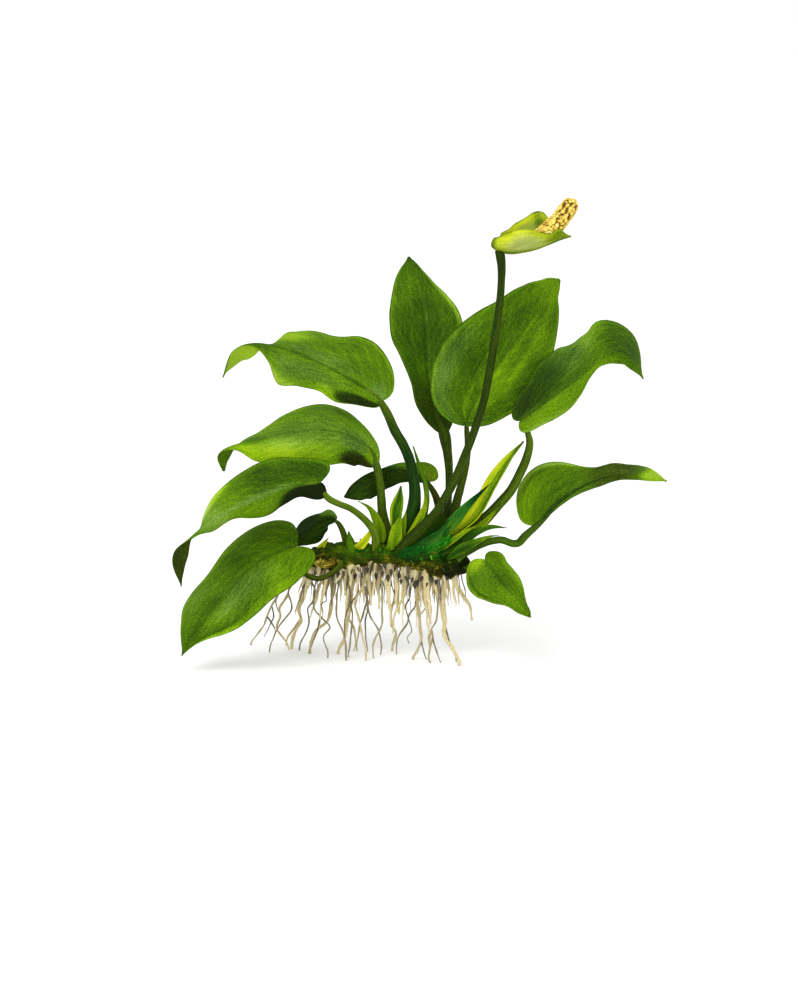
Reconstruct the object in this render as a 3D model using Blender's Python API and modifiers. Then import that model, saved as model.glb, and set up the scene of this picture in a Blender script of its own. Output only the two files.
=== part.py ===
"""Bare-rooted anubias in flower: a creeping rhizome with roots, leaves on stalks and one bloom.

The plant stands on its trimmed root ends. X is to the right, Y is away from the front, Z is up,
and the origin is on the surface under the middle of the plant. Tables are in millimetres.
"""
import math

import bmesh
import bpy
import numpy as np

MM = 0.001
GAP = 0.3                     # kept between touching pieces
CENTRE = (1.4, 1.3)           # middle of the plant's outline in the tables' own X and Y
BLADE_THICKNESS = 0.8
BLADE_ROWS = 10               # points from stalk to tip
BLADE_COLUMNS = 9             # points from margin to margin
BASE_ROWS = 4                 # rows of a blade that its own stalk can reach
YOUNG_ROWS = 8
YOUNG_COLUMNS = 5
TUBE_STEP = 8.0               # distance between the rings of a stalk

# Half-width of a grown leaf and the backward sweep of its veins in degrees, from stalk to tip
LEAF_OUTLINE = [0.38, 0.80, 0.97, 1.0, 0.98, 0.91, 0.79, 0.63, 0.42, 0.19, 0.012]
SPEAR_OUTLINE = [0.35, 0.70, 0.90, 1.0, 0.97, 0.85, 0.70, 0.52, 0.34, 0.17, 0.03]
BOAT_OUTLINE = [0.25, 0.70, 0.90, 1.0, 1.0, 0.95, 0.85, 0.70, 0.50, 0.25, 0.03]
VEIN_SWEEP = [62, 22, 6, -3, -9, -14, -18, -22, -26, -30, -34]

# Each leaf: midrib from stalk to tip, the direction its upper side faces, the widest half-width,
# and for its left and right halves the share of that width, the lift and the bend in degrees,
# with the height, number and phase of the margin's waves where it has them.
# Its stalk runs from inside the rhizome to the base of the blade.
LEAVES = {
    "upper_left": {
        "midrib": [(-14.5, -3, 107), (-26.5, 0, 114.5), (-39, 6, 120.5), (-51, 12, 125),
                   (-66, 19, 127.8), (-76.3, 23, 124), (-80.8, 25, 112.8)],
        "face": [(0.1, -0.55, 0.8), (0, -0.45, 0.9), (-0.2, -0.3, 1), (-0.5, -0.3, 1),
                 (-1, -0.6, 0.4)],
        "width": 19,
        "left": {"share": [0.6, 0.52, 0.6, 0.56, 0.73, 0.89, 0.46, 0.21, 0.15, 0.15, 0.3],
                 "lift": [-5, -20, -30, -25, -10], "bend": [-90, -70, -40, 0, 0],
                 "wave": (1.2, 2.5, 0.2)},
        "right": {"share": [0.6, 0.8, 0.94, 1.03, 1.08, 1.1, 1.07, 0.93, 0.88, 0.96, 0.99, 0.97,
                            0.85, 0.45, 0.3, 0.6, 0.95, 1.35, 1.9, 2.6, 2.6],
                  "lift": [26, 25, 23, 21, 20, 18, 16, 14, 13, 10, 8, 5, 1, -30, -70, -78,
                           -75, -70, -60, -45, -30],
                  "bend": [0, 0, 0, -2, -6, -10, -11, -11, -10, -5, 0]},
        "stalk": [(-7, 0.5, 43), (-5.6, -1, 51), (-3.2, -2, 57.4), (-1.6, -3, 63.9),
                  (-1.2, -4, 70.3), (-1.9, -4, 76.5), (-3.3, -4, 82.7), (-5.9, -4, 88.9),
                  (-9.4, -4, 95), (-12.5, -3.5, 102), (-14, -3, 107)],
        "stalk_radius": [3.1, 2.9, 2.5, 2.2, 2.0, 1.8],
    },
    "left": {
        "midrib": [(-16.5, 0, 80), (-20, 0, 87.5), (-28.5, -1, 92.5), (-39.5, -3, 95),
                   (-51.5, -5, 94), (-63.5, -6, 91.5), (-76, -8, 89), (-81.2, -8, 84.8),
                   (-79, -8, 78.6)],
        "face": [(0.3, -0.7, 0.5), (0, -0.6, 0.8), (-0.1, -0.5, 1), (-0.3, -0.4, 1),
                 (-1, -0.3, 0.4)],
        "width": 17,
        "left": {"share": [0.7, 0.77, 0.74, 0.86, 0.81, 0.88, 0.86, 0.86, 0.42, 0.15, 0.3],
                 "lift": [-10, -15, -20, -20, -10], "bend": [-80, -60, -40, -20, -10]},
        "right": {"share": [0.25, 0.28, 0.31, 0.42, 0.59, 0.85, 1.06, 1.1, 1.05, 1.02, 0.98, 0.9,
                            0.8, 0.75, 0.7, 0.6, 0.3, 1.4, 1.75, 2.0, 1.6],
                  "lift": [10, 8, 6, 4, 2, 1, -1, -1, 0, 0, 0, -1, -2, -5, -8, -15, -45, -75,
                           -78, -72, -60],
                  "bend": [0, -4, -8, -11, -10, -10, -10, -11, -8, -4, 0]},
        "stalk": [(-12, 2.5, 42), (-12.5, 2.6, 46.5), (-13.3, 2.8, 52.3), (-14.4, 2, 58.6),
                  (-14.8, 0.9, 64.9), (-15.3, 0.3, 71.3), (-16.3, 0, 79)],
        "stalk_radius": [2.5, 2.2, 1.9, 1.7, 1.6],
    },
    "middle_left": {
        "midrib": [(-39, -21.5, 76.4), (-51.5, -26.6, 75), (-63, -31, 71.5), (-73, -34, 67.5),
                   (-82, -37, 62.5), (-90.5, -39, 57), (-95, -40, 48.5), (-94.3, -40, 37.5)],
        "face": [(0.1, -0.6, 0.8), (0.05, -0.62, 0.8), (0, -0.62, 0.8), (-0.1, -0.65, 0.8),
                 (-0.15, -0.65, 0.8), (-0.2, -0.65, 0.8), (-0.3, -0.6, 0.75),
                 (-0.7, 0.05, 0.6), (-0.65, 0.7, 0.2), (-0.6, 0.8, 0.1), (-0.6, 0.8, 0)],
        "width": 17.5,
        "left": {"share": [1.2, 0.42, 0.5, 0.66, 0.57, 0.31, 0.26, 0.18, 0.57, 0.75, 0.8],
                 "lift": [-20, -34, -38, -41, -44, -45, -40, -20, 0, 0, 0],
                 "bend": [-40, -75, -90, -90, -90, -90, -60, -30, -10, 0, 0]},
        "right": {"share": [1.5, 0.92, 0.91, 0.9, 0.87, 0.76, 0.47, 0.15, 0.62, 0.85, 0.9],
                  "lift": [15, 14, 11, 8, 4, 0, -2, -4, 0, 0, 0],
                  "bend": [0, 0, 0, -2, -6, -10, -11, -11, -8, -4, 0]},
        "stalk": [(-17.5, -3.4, 42), (-17.3, -4.6, 50.5), (-19.4, -7, 55.9), (-23.1, -9.5, 60.4),
                  (-27.5, -12.5, 64.2), (-32.3, -16, 66.8), (-36.5, -19, 69.8), (-39.4, -21, 75)],
        "stalk_radius": [1.9, 1.5, 1.35, 1.3, 1.3],
    },
    "low_left": {
        "midrib": [(-49, -16, 48.9), (-53.5, -18, 48.3), (-60, -21, 46.1), (-65, -23, 43.5),
                   (-70, -25.5, 39.9), (-75, -27.5, 34.7), (-80.2, -29.5, 28.9),
                   (-85.4, -30.5, 22.2), (-90, -31, 15.5), (-95.1, -31, 7.2)],
        "face": [(-0.2, -0.85, 0.5), (-0.2, -0.85, 0.5)],
        "width": 18.5,
        "left": {"share": [1.2, 0.92, 0.9, 0.88, 0.88, 0.9, 0.92, 0.85, 0.72, 0.65, 0.7],
                 "lift": [0, 0, -5, -5, 0], "bend": [-10, -10, -10, -10, 0],
                 "sweep": [85, 26, 6, -3, -9, -14, -18, -22, -26, -30, -34]},
        "right": {"share": [1.5, 1.12, 0.96, 0.88, 0.8, 0.82, 1.02, 1.2, 1.22, 1.25, 1.2],
                  "lift": [0, -5, -5, -5, 0], "bend": [-20, -20, -20, -20, 0],
                  "sweep": [30, 15, 6, -3, -9, -14, -18, -22, -26, -30, -34]},
        "stalk": [(-29.5, -1.5, 41.5), (-32.8, -7.4, 38.2), (-37, -10, 35.7), (-41, -11.6, 34.9),
                  (-45.5, -13.4, 37), (-48, -14.6, 41.5), (-48.5, -15.5, 48)],
        "stalk_radius": [1.3, 1.15, 1.1, 1.1],
    },
    "small_folded": {
        "midrib": [(-34, 0, 57), (-38, -1, 57), (-43.5, -1, 54), (-49, 0, 50), (-53, 1, 45)],
        "face": [(0, -0.6, 0.8), (-0.3, -0.6, 0.8), (-0.8, -0.6, 0.6)],
        "width": 8,
        "left": {"share": [0.5, 0.37, 0.6, 0.7, 0.9, 1, 1, 1, 1, 1, 1],
                 "lift": [-50, -50, -40], "bend": [-40, -40, -20]},
        "right": {"share": [0.7, 1.1, 0.72, 0.76, 0.84, 0.9, 0.88, 0.75, 0.7, 0.7, 0.7],
                  "lift": [0, 0], "bend": [-20, 0, 0]},
        "stalk": [(-28, 1.5, 42), (-29.3, 1.5, 47), (-30.8, 1.2, 52.3), (-32.8, 0.6, 55.9),
                  (-34, 0.2, 56.3)],
        "stalk_radius": [1.7, 1.5, 1.3, 1.1],
    },
    "small_center": {
        "midrib": [(4.6, 11, 71), (0.8, 11, 73.4), (-3, 10, 75.1), (-6.8, 9.5, 76.2),
                   (-10.6, 9, 76.5), (-14.4, 8, 76.4), (-18.2, 7, 75.6), (-21.5, 6, 74.5),
                   (-24.8, 5, 72.5), (-27.6, 4, 70), (-30.2, 3, 66.1)],
        "face": [(0.1, -0.5, 0.9), (-0.1, -0.3, 1), (-0.3, -0.3, 0.9)],
        "width": 10,
        "left": {"share": [0.3, 0.3, 0.4, 0.55, 0.75, 0.95, 1.25, 1.58, 1.95, 3.1, 5.0],
                 "lift": [-30, -40, -40], "bend": [-30, -30, -20]},
        "right": {"share": [1.1, 1.1, 0.6, 0.5, 0.33, 0.15, 0.1, 0.1, 0.1, 0.2, 0.3],
                  "lift": [20, 5, 0], "bend": [0, 0]},
        "stalk": [(6, 4, 42), (8.3, 8, 52), (9.2, 9.5, 58), (8.1, 10, 63.7), (6.2, 10.5, 67.8),
                  (4.6, 11, 70.4)],
        "stalk_radius": [1.9, 1.9, 1.8, 1.5],
    },
    "tall_back": {
        "midrib": [(11.5, 16, 90), (7.5, 19, 99.5), (4.5, 23, 112), (3.5, 28, 123.5),
                   (3, 33, 135.5), (0.5, 39, 147), (-3.5, 45, 161)],
        "face": [(0.1, -0.95, -0.1), (0.1, -0.95, -0.1)],
        "width": 18,
        "left": {"share": [0.3, 0.3, 0.42, 0.42, 0.62, 0.93, 1.1, 1.2, 1.42, 1.85, 2.2],
                 "lift": [10, 10, 5, 0], "bend": [0, 0]},
        "right": {"share": [0.4, 0.48, 0.6, 0.73, 0.87, 1.0, 1.1, 1.04, 1.0, 1.2, 1.8],
                  "lift": [10, 10, 5, 0], "bend": [0, 0]},
        "stalk": [(10.5, 1, 42), (11.3, 3.5, 51), (12.3, 6.5, 60), (13, 9, 68), (13.1, 12, 76),
                  (12.3, 14.5, 84), (11.6, 16, 89.5)],
        "stalk_radius": [1.8, 1.6, 1.5, 1.5, 1.9],
    },
    "broad": {
        "midrib": [(19.5, 6, 95.5), (25, 7.5, 108), (32.5, 10, 119.5), (42, 14, 131.5),
                   (50, 19, 142), (58.9, 26, 153.2)],
        "face": [(-0.1, -0.95, 0.1), (-0.1, -0.95, 0.1)],
        "width": 20,
        "left": {"share": [0.3, 0.93, 1.1, 1.18, 1.14, 1.1, 1.07, 1.15, 1.32, 1.75, 3.0],
                 "lift": [10, 5, 5, 0], "bend": [0, 0]},
        "right": {"share": [0.2, 0.6, 0.8, 0.95, 1.0, 1.0, 0.95, 0.93, 0.95, 0.95, 1.5],
                  "lift": [0, -5, -5, 0], "bend": [0, 0]},
        "stalk": [(15.5, 3.5, 42), (15.3, 3.5, 50), (15.3, 3.7, 57), (15.8, 4, 62.8),
                  (17.5, 4.2, 69), (19.5, 4.7, 77.1), (20.6, 5.3, 86), (19.8, 6, 95)],
        "stalk_radius": [1.9, 1.8, 1.7, 1.5, 1.3],
    },
    "upper_right": {
        "midrib": [(41.5, -6, 99), (46.5, -6.5, 102.6), (52.2, -7, 107), (58.2, -7, 111.2),
                   (63.4, -7, 115), (68.3, -6.5, 119), (73, -6, 123.2), (78.1, -5, 126.3),
                   (83.4, -4, 126.5), (87.7, -3, 123), (91.5, -3, 115.9)],
        "face": [(-0.3, -0.7, 0.5), (-0.2, -0.6, 0.7), (0, -0.5, 0.8), (0.6, -0.4, 0.7),
                 (1, -0.5, 0.2)],
        "width": 17,
        "left": {"share": [0.65, 0.72, 0.84, 1.2, 1.34, 1.2, 1.23, 1.74, 1.95, 1.4, 1.2],
                 "lift": [8, -2, -4, 0], "bend": [0, 0]},
        "right": {"share": [0.85, 0.5, 0.48, 0.46, 0.34, 0.18, 0.16, 0.46, 0.68, 1.0, 1.0],
                  "lift": [-10, -20, -30, -10], "bend": [-30, -40, -20]},
        "stalk": [(15, -2, 43), (21.5, -2.3, 52.8), (27.6, -2.8, 58.2), (33.7, -3.3, 64.7),
                  (38.2, -3.8, 70.2), (41.8, -4.2, 77.3), (44.2, -4.6, 83), (45.6, -5, 89.5),
                  (44.6, -5.2, 94.6), (42.2, -5.2, 97.8)],
        "stalk_radius": [2.6, 2.3, 2.1, 1.9, 1.7],
    },
    "arching_right": {
        "midrib": [(49, -14, 58), (55.5, -17, 65.5), (63.5, -20, 72.5), (71.5, -22, 77),
                   (80.5, -23, 79.5), (90, -23, 79.5), (100, -22, 77)],
        "face": [(-0.6, -0.6, 0.4), (-0.3, -0.6, 0.7), (0, -0.4, 0.9), (0.2, -0.3, 1)],
        "width": 15,
        "left": {"share": [1.25, 1.62, 1.82, 1.76, 1.62, 1.45, 1.24, 1.0, 0.79, 0.66, 0.6, 0.66, 0.76, 0.8,
                           0.85, 1.05, 1.3, 1.65, 2.0, 2.1, 2.0],
                 "lift": [0, 0], "bend": [0, 0]},
        "right": {"share": [0.3, 0.26, 0.28, 0.32, 0.4, 0.4, 0.33, 0.28, 0.38, 0.6, 0.7],
                  "lift": [-80, -80, -60, -40], "bend": [-90, -90, -50]},
        "stalk": [(12, -4.5, 40), (17.4, -6.5, 44.2), (22.2, -8.3, 47), (26.2, -9.8, 49),
                  (30.3, -11, 50.4), (34.3, -11.5, 50.9), (38.4, -12, 49.6), (41.2, -12.5, 50),
                  (44, -13.5, 53.3), (48.8, -14, 57.7)],
        "stalk_radius": [2, 1.7, 1.5, 1.5, 1.6],
    },
    "low_right": {
        "midrib": [(27.5, -14, 43), (32, -18, 38), (37.5, -22, 31.5), (42, -25, 26.5),
                   (45.5, -27, 22)],
        "face": [(0.1, -0.9, 0.4), (0.1, -0.9, 0.4)],
        "width": 11.5,
        "left": {"share": [0.9, 0.87, 0.65, 0.64, 0.66, 0.63, 0.57, 0.5, 0.5, 0.8, 1.2],
                 "lift": [0, 0], "bend": [-20, -20, -10]},
        "right": {"share": [1.13, 1.09, 1.13, 1.08, 0.92, 0.79, 0.63, 0.61, 0.74, 0.9, 1.2],
                  "lift": [0, 0], "bend": [-20, -20, -10]},
        "stalk": [(20, -5, 38), (22.5, -9, 40), (24.5, -12, 41.5), (27, -13.8, 42.8)],
        "stalk_radius": [1.2, 1.1, 1.0],
    },
}

# Young leaves, bracts and sheaths: narrow blades that grow from the crown
YOUNG = {
    "rolled_leaf": {"midrib": [(12.5, -5, 47), (16.8, -6, 53.2), (22.7, -6.8, 58.3), (27.2, -7, 64.6),
                               (31.2, -7, 72.5), (35, -6.5, 79), (39.1, -6, 85.5),
                               (43, -5.5, 90.7)],
                    "face": (-0.4, -0.85, 0.3), "width": 4.2, "left": (10, 20), "right": (20, 30),
                    "left_share": [0.5, 0.6, 0.75, 0.95, 1.05, 1.25, 1.5, 1.8, 2.0, 2.0, 1.6],
                    "right_share": [0.6, 0.5, 0.45, 0.45, 0.45, 0.5, 0.6, 0.8, 0.9, 1.0, 1.0]},
    "spear_leaf": {"midrib": [(9.5, -8.5, 48), (12.7, -9.3, 55.5), (16.5, -9.8, 60.5), (20.5, -9.8, 65),
                              (25, -9.5, 69.5), (29.8, -9, 74)],
                   "face": (-0.3, -0.9, 0.3), "width": 2.4, "left": (10, 10),
                   "right": (-10, -10)},
    "bract_upper": {"midrib": [(9.5, -8.5, 44.5), (14, -9.5, 48.3), (19.7, -10.3, 52), (25, -11, 55),
                               (30.3, -11, 56.3), (36.4, -11, 55.8)],
                    "face": (-0.3, -0.8, 0.5), "width": 2.6, "left": (0, 0), "right": (-20, -20)},
    "bract_lower": {"midrib": [(12, -11, 43), (16.5, -13, 46.8), (20.9, -13.8, 49.2),
                               (25.3, -14.3, 51.5), (29.4, -14.6, 53), (33, -14.8, 53.4)],
                    "face": (-0.3, -0.8, 0.5), "width": 2.0, "left": (0, 0), "right": (-20, -20)},
    "upright_leaflet": {"midrib": [(-9.4, -4, 45), (-9.4, -4.4, 55.8), (-8.8, -4, 62),
                                   (-7.6, -4, 67.3), (-6.8, -4, 71.9)],
                        "face": (0.1, -0.95, 0.1), "width": 3.2, "left": (20, 0),
                        "right": (20, 0),
                        "left_share": [0.5, 0.5, 0.5, 0.5, 0.6, 0.9, 1.3, 1.65, 1.95, 2.0, 2.5],
                        "right_share": [0.5, 0.5, 0.5, 0.5, 0.6, 0.9, 1.3, 1.65, 1.95, 2.0, 2.5]},
    "sheath_front": {"midrib": [(-5, -11.5, 43.5), (0, -12.8, 47), (5, -13.2, 50.7),
                                (9.5, -12.8, 55), (12.7, -12.3, 59.5)],
                     "face": (-0.4, -0.8, 0.3), "width": 4.0, "left": (-10, -30),
                     "right": (-10, -30)},
    "sheath_left": {"midrib": [(-15, -0.8, 45), (-15.5, -1.6, 53), (-17.4, -2.6, 58.9),
                               (-20.2, -3.6, 63.1), (-24.3, -4.6, 65.7)],
                    "face": (-0.2, -0.95, 0.1), "width": 2.4, "left": (-10, -20),
                    "right": (-10, -20)},
}

# Blades folded so tightly that the exact solver can't cut them
TIGHT_FOLDS = ("small_folded", "arching_right", "bract_lower")

# The bloom: its stalk, the boat-shaped spathe and the knobbly spadix
PEDUNCLE = [(-5.8, -5.4, 43.4), (-3.4, -7.6, 49.8), (1, -9, 54.8), (5, -9, 58.9), (8.3, -9, 63),
            (10.7, -8.5, 67), (13, -8, 71), (15.2, -7.5, 75.2), (18.4, -7, 83.2), (21.7, -6, 91.2),
            (24.5, -5, 99.3), (26.9, -4.5, 107.4), (28.9, -4, 117.6), (30.5, -4, 127.8),
            (32, -4, 138), (33.2, -4, 148.1), (33.7, -4, 156.2), (33.7, -4, 162.2), (32.9, -4, 168)]
PEDUNCLE_RADIUS = [2.6, 2.3, 1.9, 1.75, 1.65, 1.65, 1.6, 1.6, 1.6, 1.6, 1.5, 2.0]
SPATHE = {
    "midrib": [(30.2, -4, 170.2), (32.6, -4, 168.3), (37.1, -4, 167.3), (41.9, -4, 167.7),
               (47.2, -4, 168.8), (53.2, -4, 171), (57.2, -4, 172.6), (61.6, -4, 173.9)],
    "face": [(0.1, 0, 1), (0.1, 0, 1)],
    "width": 10,
    "left": {"share": [0.8, 1.05, 1.15, 1.27, 1.42, 1.62, 1.88, 2.16, 2.3, 1.3, 1.0],
             "lift": [45, 45], "bend": [25, 25, 25],
             "sweep": [45, 26, 9, -3, -8, -12, -15, -16, -8, 10, 0]},
    "right": {"share": [1.6, 1.43, 1.38, 1.32, 1.32, 1.33, 1.25, 1.02, 1.1, 2.3, 1.0],
              "lift": [5, 5], "bend": [100, 100, 90], "sweep": [55, 14, 0, 0, 0, 0, 0, 0, 0, 0, 0]},
}
SPADIX = [(35.5, -4, 170.8), (41, -4.5, 173.2), (46.7, -5, 175), (51.6, -5, 176.8),
          (55.4, -4.6, 178.9), (58, -4.7, 181.8), (60.4, -5, 185), (62.8, -5, 187.8)]
SPADIX_RADIUS = [0.8, 0.8, 0.8, 0.8, 1.0, 2.2, 3.2, 3.5, 3.4, 3.3, 2.6]
SPADIX_SIDES = 8
SPADIX_RINGS = 16

# The creeping rhizome from its old left end to the crown on the right
RHIZOME = [(-45, 0.5, 41.2), (-34, 0.5, 41.8), (-23, 0, 42.6), (-12, 0, 42.9), (-3, -0.5, 42),
           (6, -1, 40), (15, -2, 39.2), (22, -3, 38.6)]
RHIZOME_RADIUS = [6.0, 5.9, 5.1, 4.6, 5.1, 6.2, 6.7, 4.6]
RHIZOME_SCARS = 9
RHIZOME_SCAR_DEPTH = 0.06     # share of the radius
RHIZOME_SIDES = 12
RHIZOME_RINGS = 20

THIN_SHOOT = [(1.5, 1, 44), (1.6, -0.8, 50), (2.4, -2.8, 56.5), (3.3, -3.6, 62.2), (3.8, -2.4, 67.2),
              (3, 1.2, 72.5), (0.8, 3.6, 78.9), (-1.8, 3.6, 87.2)]
THIN_SHOOT_RADIUS = [1.3, 1.2, 1.2, 1.1, 0.9, 0.3]
BUD = [(-27.2, -2, 43), (-27.5, -2, 48), (-28.3, -2, 52.6)]
BUD_RADIUS = [2.4, 1.9, 0.4]

# Each main root: X and Y where it leaves the rhizome, Y of its foot, its radius,
# and the X and Z of its turns on the way down
ROOTS = [
    ((-41.5, 3.5), 20, 0.55, [(-46, 37), (-54, 29), (-61, 18), (-64.5, 9), (-69, 2.5),
                              (-70, 0)]),
    ((-42, -1), 6, 0.6, [(-46, 35.5), (-51, 30.5), (-53.6, 26.5), (-52.4, 22.5),
                         (-52.7, 18), (-57.5, 11.5), (-60.5, 5), (-61.5, 0)]),
    ((-39.5, 2.5), 13, 0.95, [(-43, 36), (-46.6, 32), (-46.6, 25), (-49.5, 18),
                              (-48.5, 13), (-51.5, 6.5), (-52.5, 0)]),
    ((-38, -2), 10, 0.6, [(-41.5, 35.5), (-43.7, 32), (-42.4, 27), (-43.4, 22),
                          (-45.3, 18.6), (-45, 11), (-48.5, 4), (-49.2, 0)]),
    ((-35.5, 0), -4, 0.6, [(-39, 36), (-42, 31), (-42.8, 21), (-39.5, 16.5),
                           (-36.3, 12.8), (-38.6, 8.9), (-37, 3), (-37, 0)]),
    ((-34, 2.5), 4, 0.85, [(-35.1, 34), (-35.1, 23), (-37, 14.5), (-42, 9.5),
                           (-44.3, 3), (-44.7, 0)]),
    ((-31, -1.5), -9, 0.65, [(-31.9, 34), (-33.5, 20), (-31, 12.5), (-29.3, 6),
                             (-29.3, 0)]),
    ((-28.5, 2.5), 3, 0.9, [(-29.9, 31), (-27.4, 23), (-29, 15), (-29.9, 8),
                            (-32.5, 2), (-32.8, 0)]),
    ((-24.5, -1.5), -3, 0.6, [(-24.2, 32), (-24.8, 26.4), (-27, 22.5), (-26.7, 17.3),
                              (-27.4, 8.2), (-28.4, 2), (-28.6, 0)]),
    ((-21.5, 2), 8, 0.6, [(-22.2, 31), (-21, 22), (-23.5, 13.4), (-25, 4), (-25.1, 0)]),
    ((-19, -3), -9, 0.8, [(-22, 31), (-24.5, 26), (-25.4, 22.5), (-23.5, 14),
                          (-21.6, 5.6), (-21.2, 0)]),
    ((-17, 1.5), 2, 0.6, [(-19.5, 34), (-20.8, 28), (-20.3, 18.6), (-16.1, 10.2),
                          (-14.9, 4.3), (-15.2, 0)]),
    ((-13.5, -2.5), -5, 0.65, [(-14.5, 34), (-14.6, 22), (-14.9, 13.4), (-18.2, 6),
                               (-18.1, 0)]),
    ((-8, 2), 9, 0.75, [(-8.8, 33), (-8.1, 26), (-11, 18), (-10.3, 11), (-8.8, 8),
                        (-10.2, 2.5), (-10.4, 0)]),
    ((4, 1.5), 3, 0.6, [(3.1, 33), (0.2, 25.5), (-1.1, 20.6), (-3.6, 16.7),
                        (-4.3, 12.8), (-8, 7), (-8.7, 0)]),
    ((0.5, -3), -7, 0.7, [(0, 33), (-0.1, 25), (1.2, 13.4), (1.5, 7), (-1.5, 1.5),
                          (-2, 0)]),
    ((8, -3.5), -13, 0.7, [(8.8, 33), (8.4, 22.5), (7.6, 16.7), (5.6, 13.4),
                           (6.3, 10.2), (4.4, 3), (5.2, 0)]),
    ((12.5, 1), -18, 0.9, [(10.8, 32), (11.1, 18.6), (11.1, 11.5), (14.5, 6),
                           (16.9, 2), (16.9, 0)]),
]
ROOT_TOP = 41                 # height inside the rhizome where the main roots start
ROOT_POINTS = 9

# Colours as linear RGB, with roughness
LEAF_FINISH = ((0.07, 0.20, 0.012), 0.42)
STALK_FINISH = ((0.06, 0.14, 0.012), 0.5)
YOUNG_FINISH = ((0.22, 0.42, 0.03), 0.45)
SHEATH_FINISH = ((0.04, 0.13, 0.015), 0.5)
RHIZOME_FINISH = ((0.16, 0.16, 0.02), 0.75)
ROOT_FINISH = ((0.68, 0.55, 0.30), 0.8)
SPATHE_FINISH = ((0.42, 0.55, 0.10), 0.45)
SPADIX_FINISH = ((0.80, 0.62, 0.22), 0.7)


def unit(vectors):
    """Vectors of length one."""
    vectors = np.asarray(vectors, float)
    return vectors / np.linalg.norm(vectors, axis=-1, keepdims=True)


def smooth(values, where):
    """Read a smooth curve through evenly spaced numbers or points, at places from 0 to 1."""
    values = np.asarray(values, float)
    last = len(values) - 1
    place = np.clip(np.asarray(where, float), 0, 1) * last
    first = np.clip(np.floor(place).astype(int), 0, last - 1)
    part = place - first
    if values.ndim > 1:
        part = part[:, None]
    start = values[first]
    end = values[first + 1]
    slope_start = (end - values[np.maximum(first - 1, 0)]) / 2
    slope_end = (values[np.minimum(first + 2, last)] - start) / 2
    return ((2 * part**3 - 3 * part**2 + 1) * start + (part**3 - 2 * part**2 + part) * slope_start
            + (3 * part**2 - 2 * part**3) * end + (part**3 - part**2) * slope_end)


def even_path(points, count):
    """Points at even distances along the smooth curve through the given points."""
    fine = smooth(points, np.linspace(0, 1, 400))
    lengths = np.concatenate([[0], np.cumsum(np.linalg.norm(np.diff(fine, axis=0), axis=1))])
    wanted = np.linspace(0, lengths[-1], count)
    return np.stack([np.interp(wanted, lengths, fine[:, axis]) for axis in range(3)], axis=1)


def to_metres(point):
    """A point of the tables in metres, measured from the middle of the plant."""
    return ((point[0] - CENTRE[0]) * MM, (point[1] - CENTRE[1]) * MM, point[2] * MM)


def blade_surface(leaf, outline, rows, columns, lobes):
    """Middle surface of a blade: rows from stalk to tip, columns from right margin to left."""
    along = np.linspace(0, 1, rows)
    midrib = even_path(leaf["midrib"], rows)
    tangent = unit(np.gradient(midrib, axis=0))
    face = smooth(unit(leaf["face"]), along)
    face = unit(face - np.sum(face * tangent, axis=1, keepdims=True) * tangent)
    side = np.cross(face, tangent)
    half = smooth(outline, along) * leaf["width"]
    usual = VEIN_SWEEP if lobes else np.minimum(VEIN_SWEEP, 0)
    surface = np.zeros((rows, columns, 3))
    for column, across in enumerate(np.linspace(-1, 1, columns)):
        shape = leaf["left"] if across > 0 else leaf["right"]
        sweep = np.radians(smooth(shape.get("sweep", usual), along))
        reach = abs(across) * half * smooth(shape["share"], along)
        lift = np.radians(smooth(shape["lift"], along))
        bend = np.radians(smooth(shape["bend"], along))
        steps = abs(across) * (np.arange(16) + 0.5) / 16
        angles = lift[:, None] + bend[:, None] * steps
        outward = (np.sign(across) * side * np.cos(sweep)[:, None]
                   - tangent * np.sin(sweep)[:, None])
        height, waves, phase = shape.get("wave", (0, 0, 0))
        ripple = height * across**2 * np.sin(2 * math.pi * (waves * along + phase))
        rise = reach * np.sin(angles).mean(axis=1) + ripple * np.sin(math.pi * along)
        surface[:, column] = (midrib + outward * (reach * np.cos(angles).mean(axis=1))[:, None]
                              + face * rise[:, None])
    return surface


def widened(surface):
    """The same surface with its base and its margins moved out by the gap."""
    wide = surface.copy()
    wide[0] += unit(surface[0] - surface[1]) * GAP
    wide[:, 0] += unit(surface[:, 0] - surface[:, 1]) * GAP
    wide[:, -1] += unit(surface[:, -1] - surface[:, -2]) * GAP
    return wide


def link(piece, collection):
    """Keep an object in one collection only."""
    for other in list(piece.users_collection):
        other.objects.unlink(piece)
    collection.objects.link(piece)


def finish(piece, look):
    """Give a piece its own material and smooth shading."""
    colour, roughness = look
    material = bpy.data.materials.new(piece.name + "_finish")
    material.use_nodes = True
    shader = material.node_tree.nodes["Principled BSDF"]
    shader.inputs["Base Color"].default_value = (*colour, 1)
    shader.inputs["Roughness"].default_value = roughness
    shader.inputs["Metallic"].default_value = 0
    piece.data.materials.clear()
    piece.data.materials.append(material)
    piece.data.shade_smooth()
    piece.data.set_sharp_from_angle(angle=math.radians(50))


def make_blade(name, surface, thickness):
    """A grid bent to the given surface, thickened by Solidify."""
    rows, columns = surface.shape[:2]
    bpy.ops.mesh.primitive_grid_add(x_subdivisions=columns - 1, y_subdivisions=rows - 1, size=2)
    piece = bpy.context.object
    piece.name = name
    for vertex in piece.data.vertices:
        column = round((vertex.co.x + 1) / 2 * (columns - 1))
        row = round((vertex.co.y + 1) / 2 * (rows - 1))
        vertex.co = to_metres(surface[row, column])
    solid = piece.modifiers.new("thickness", "SOLIDIFY")
    solid.thickness = thickness * MM
    solid.offset = 0
    return piece


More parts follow.
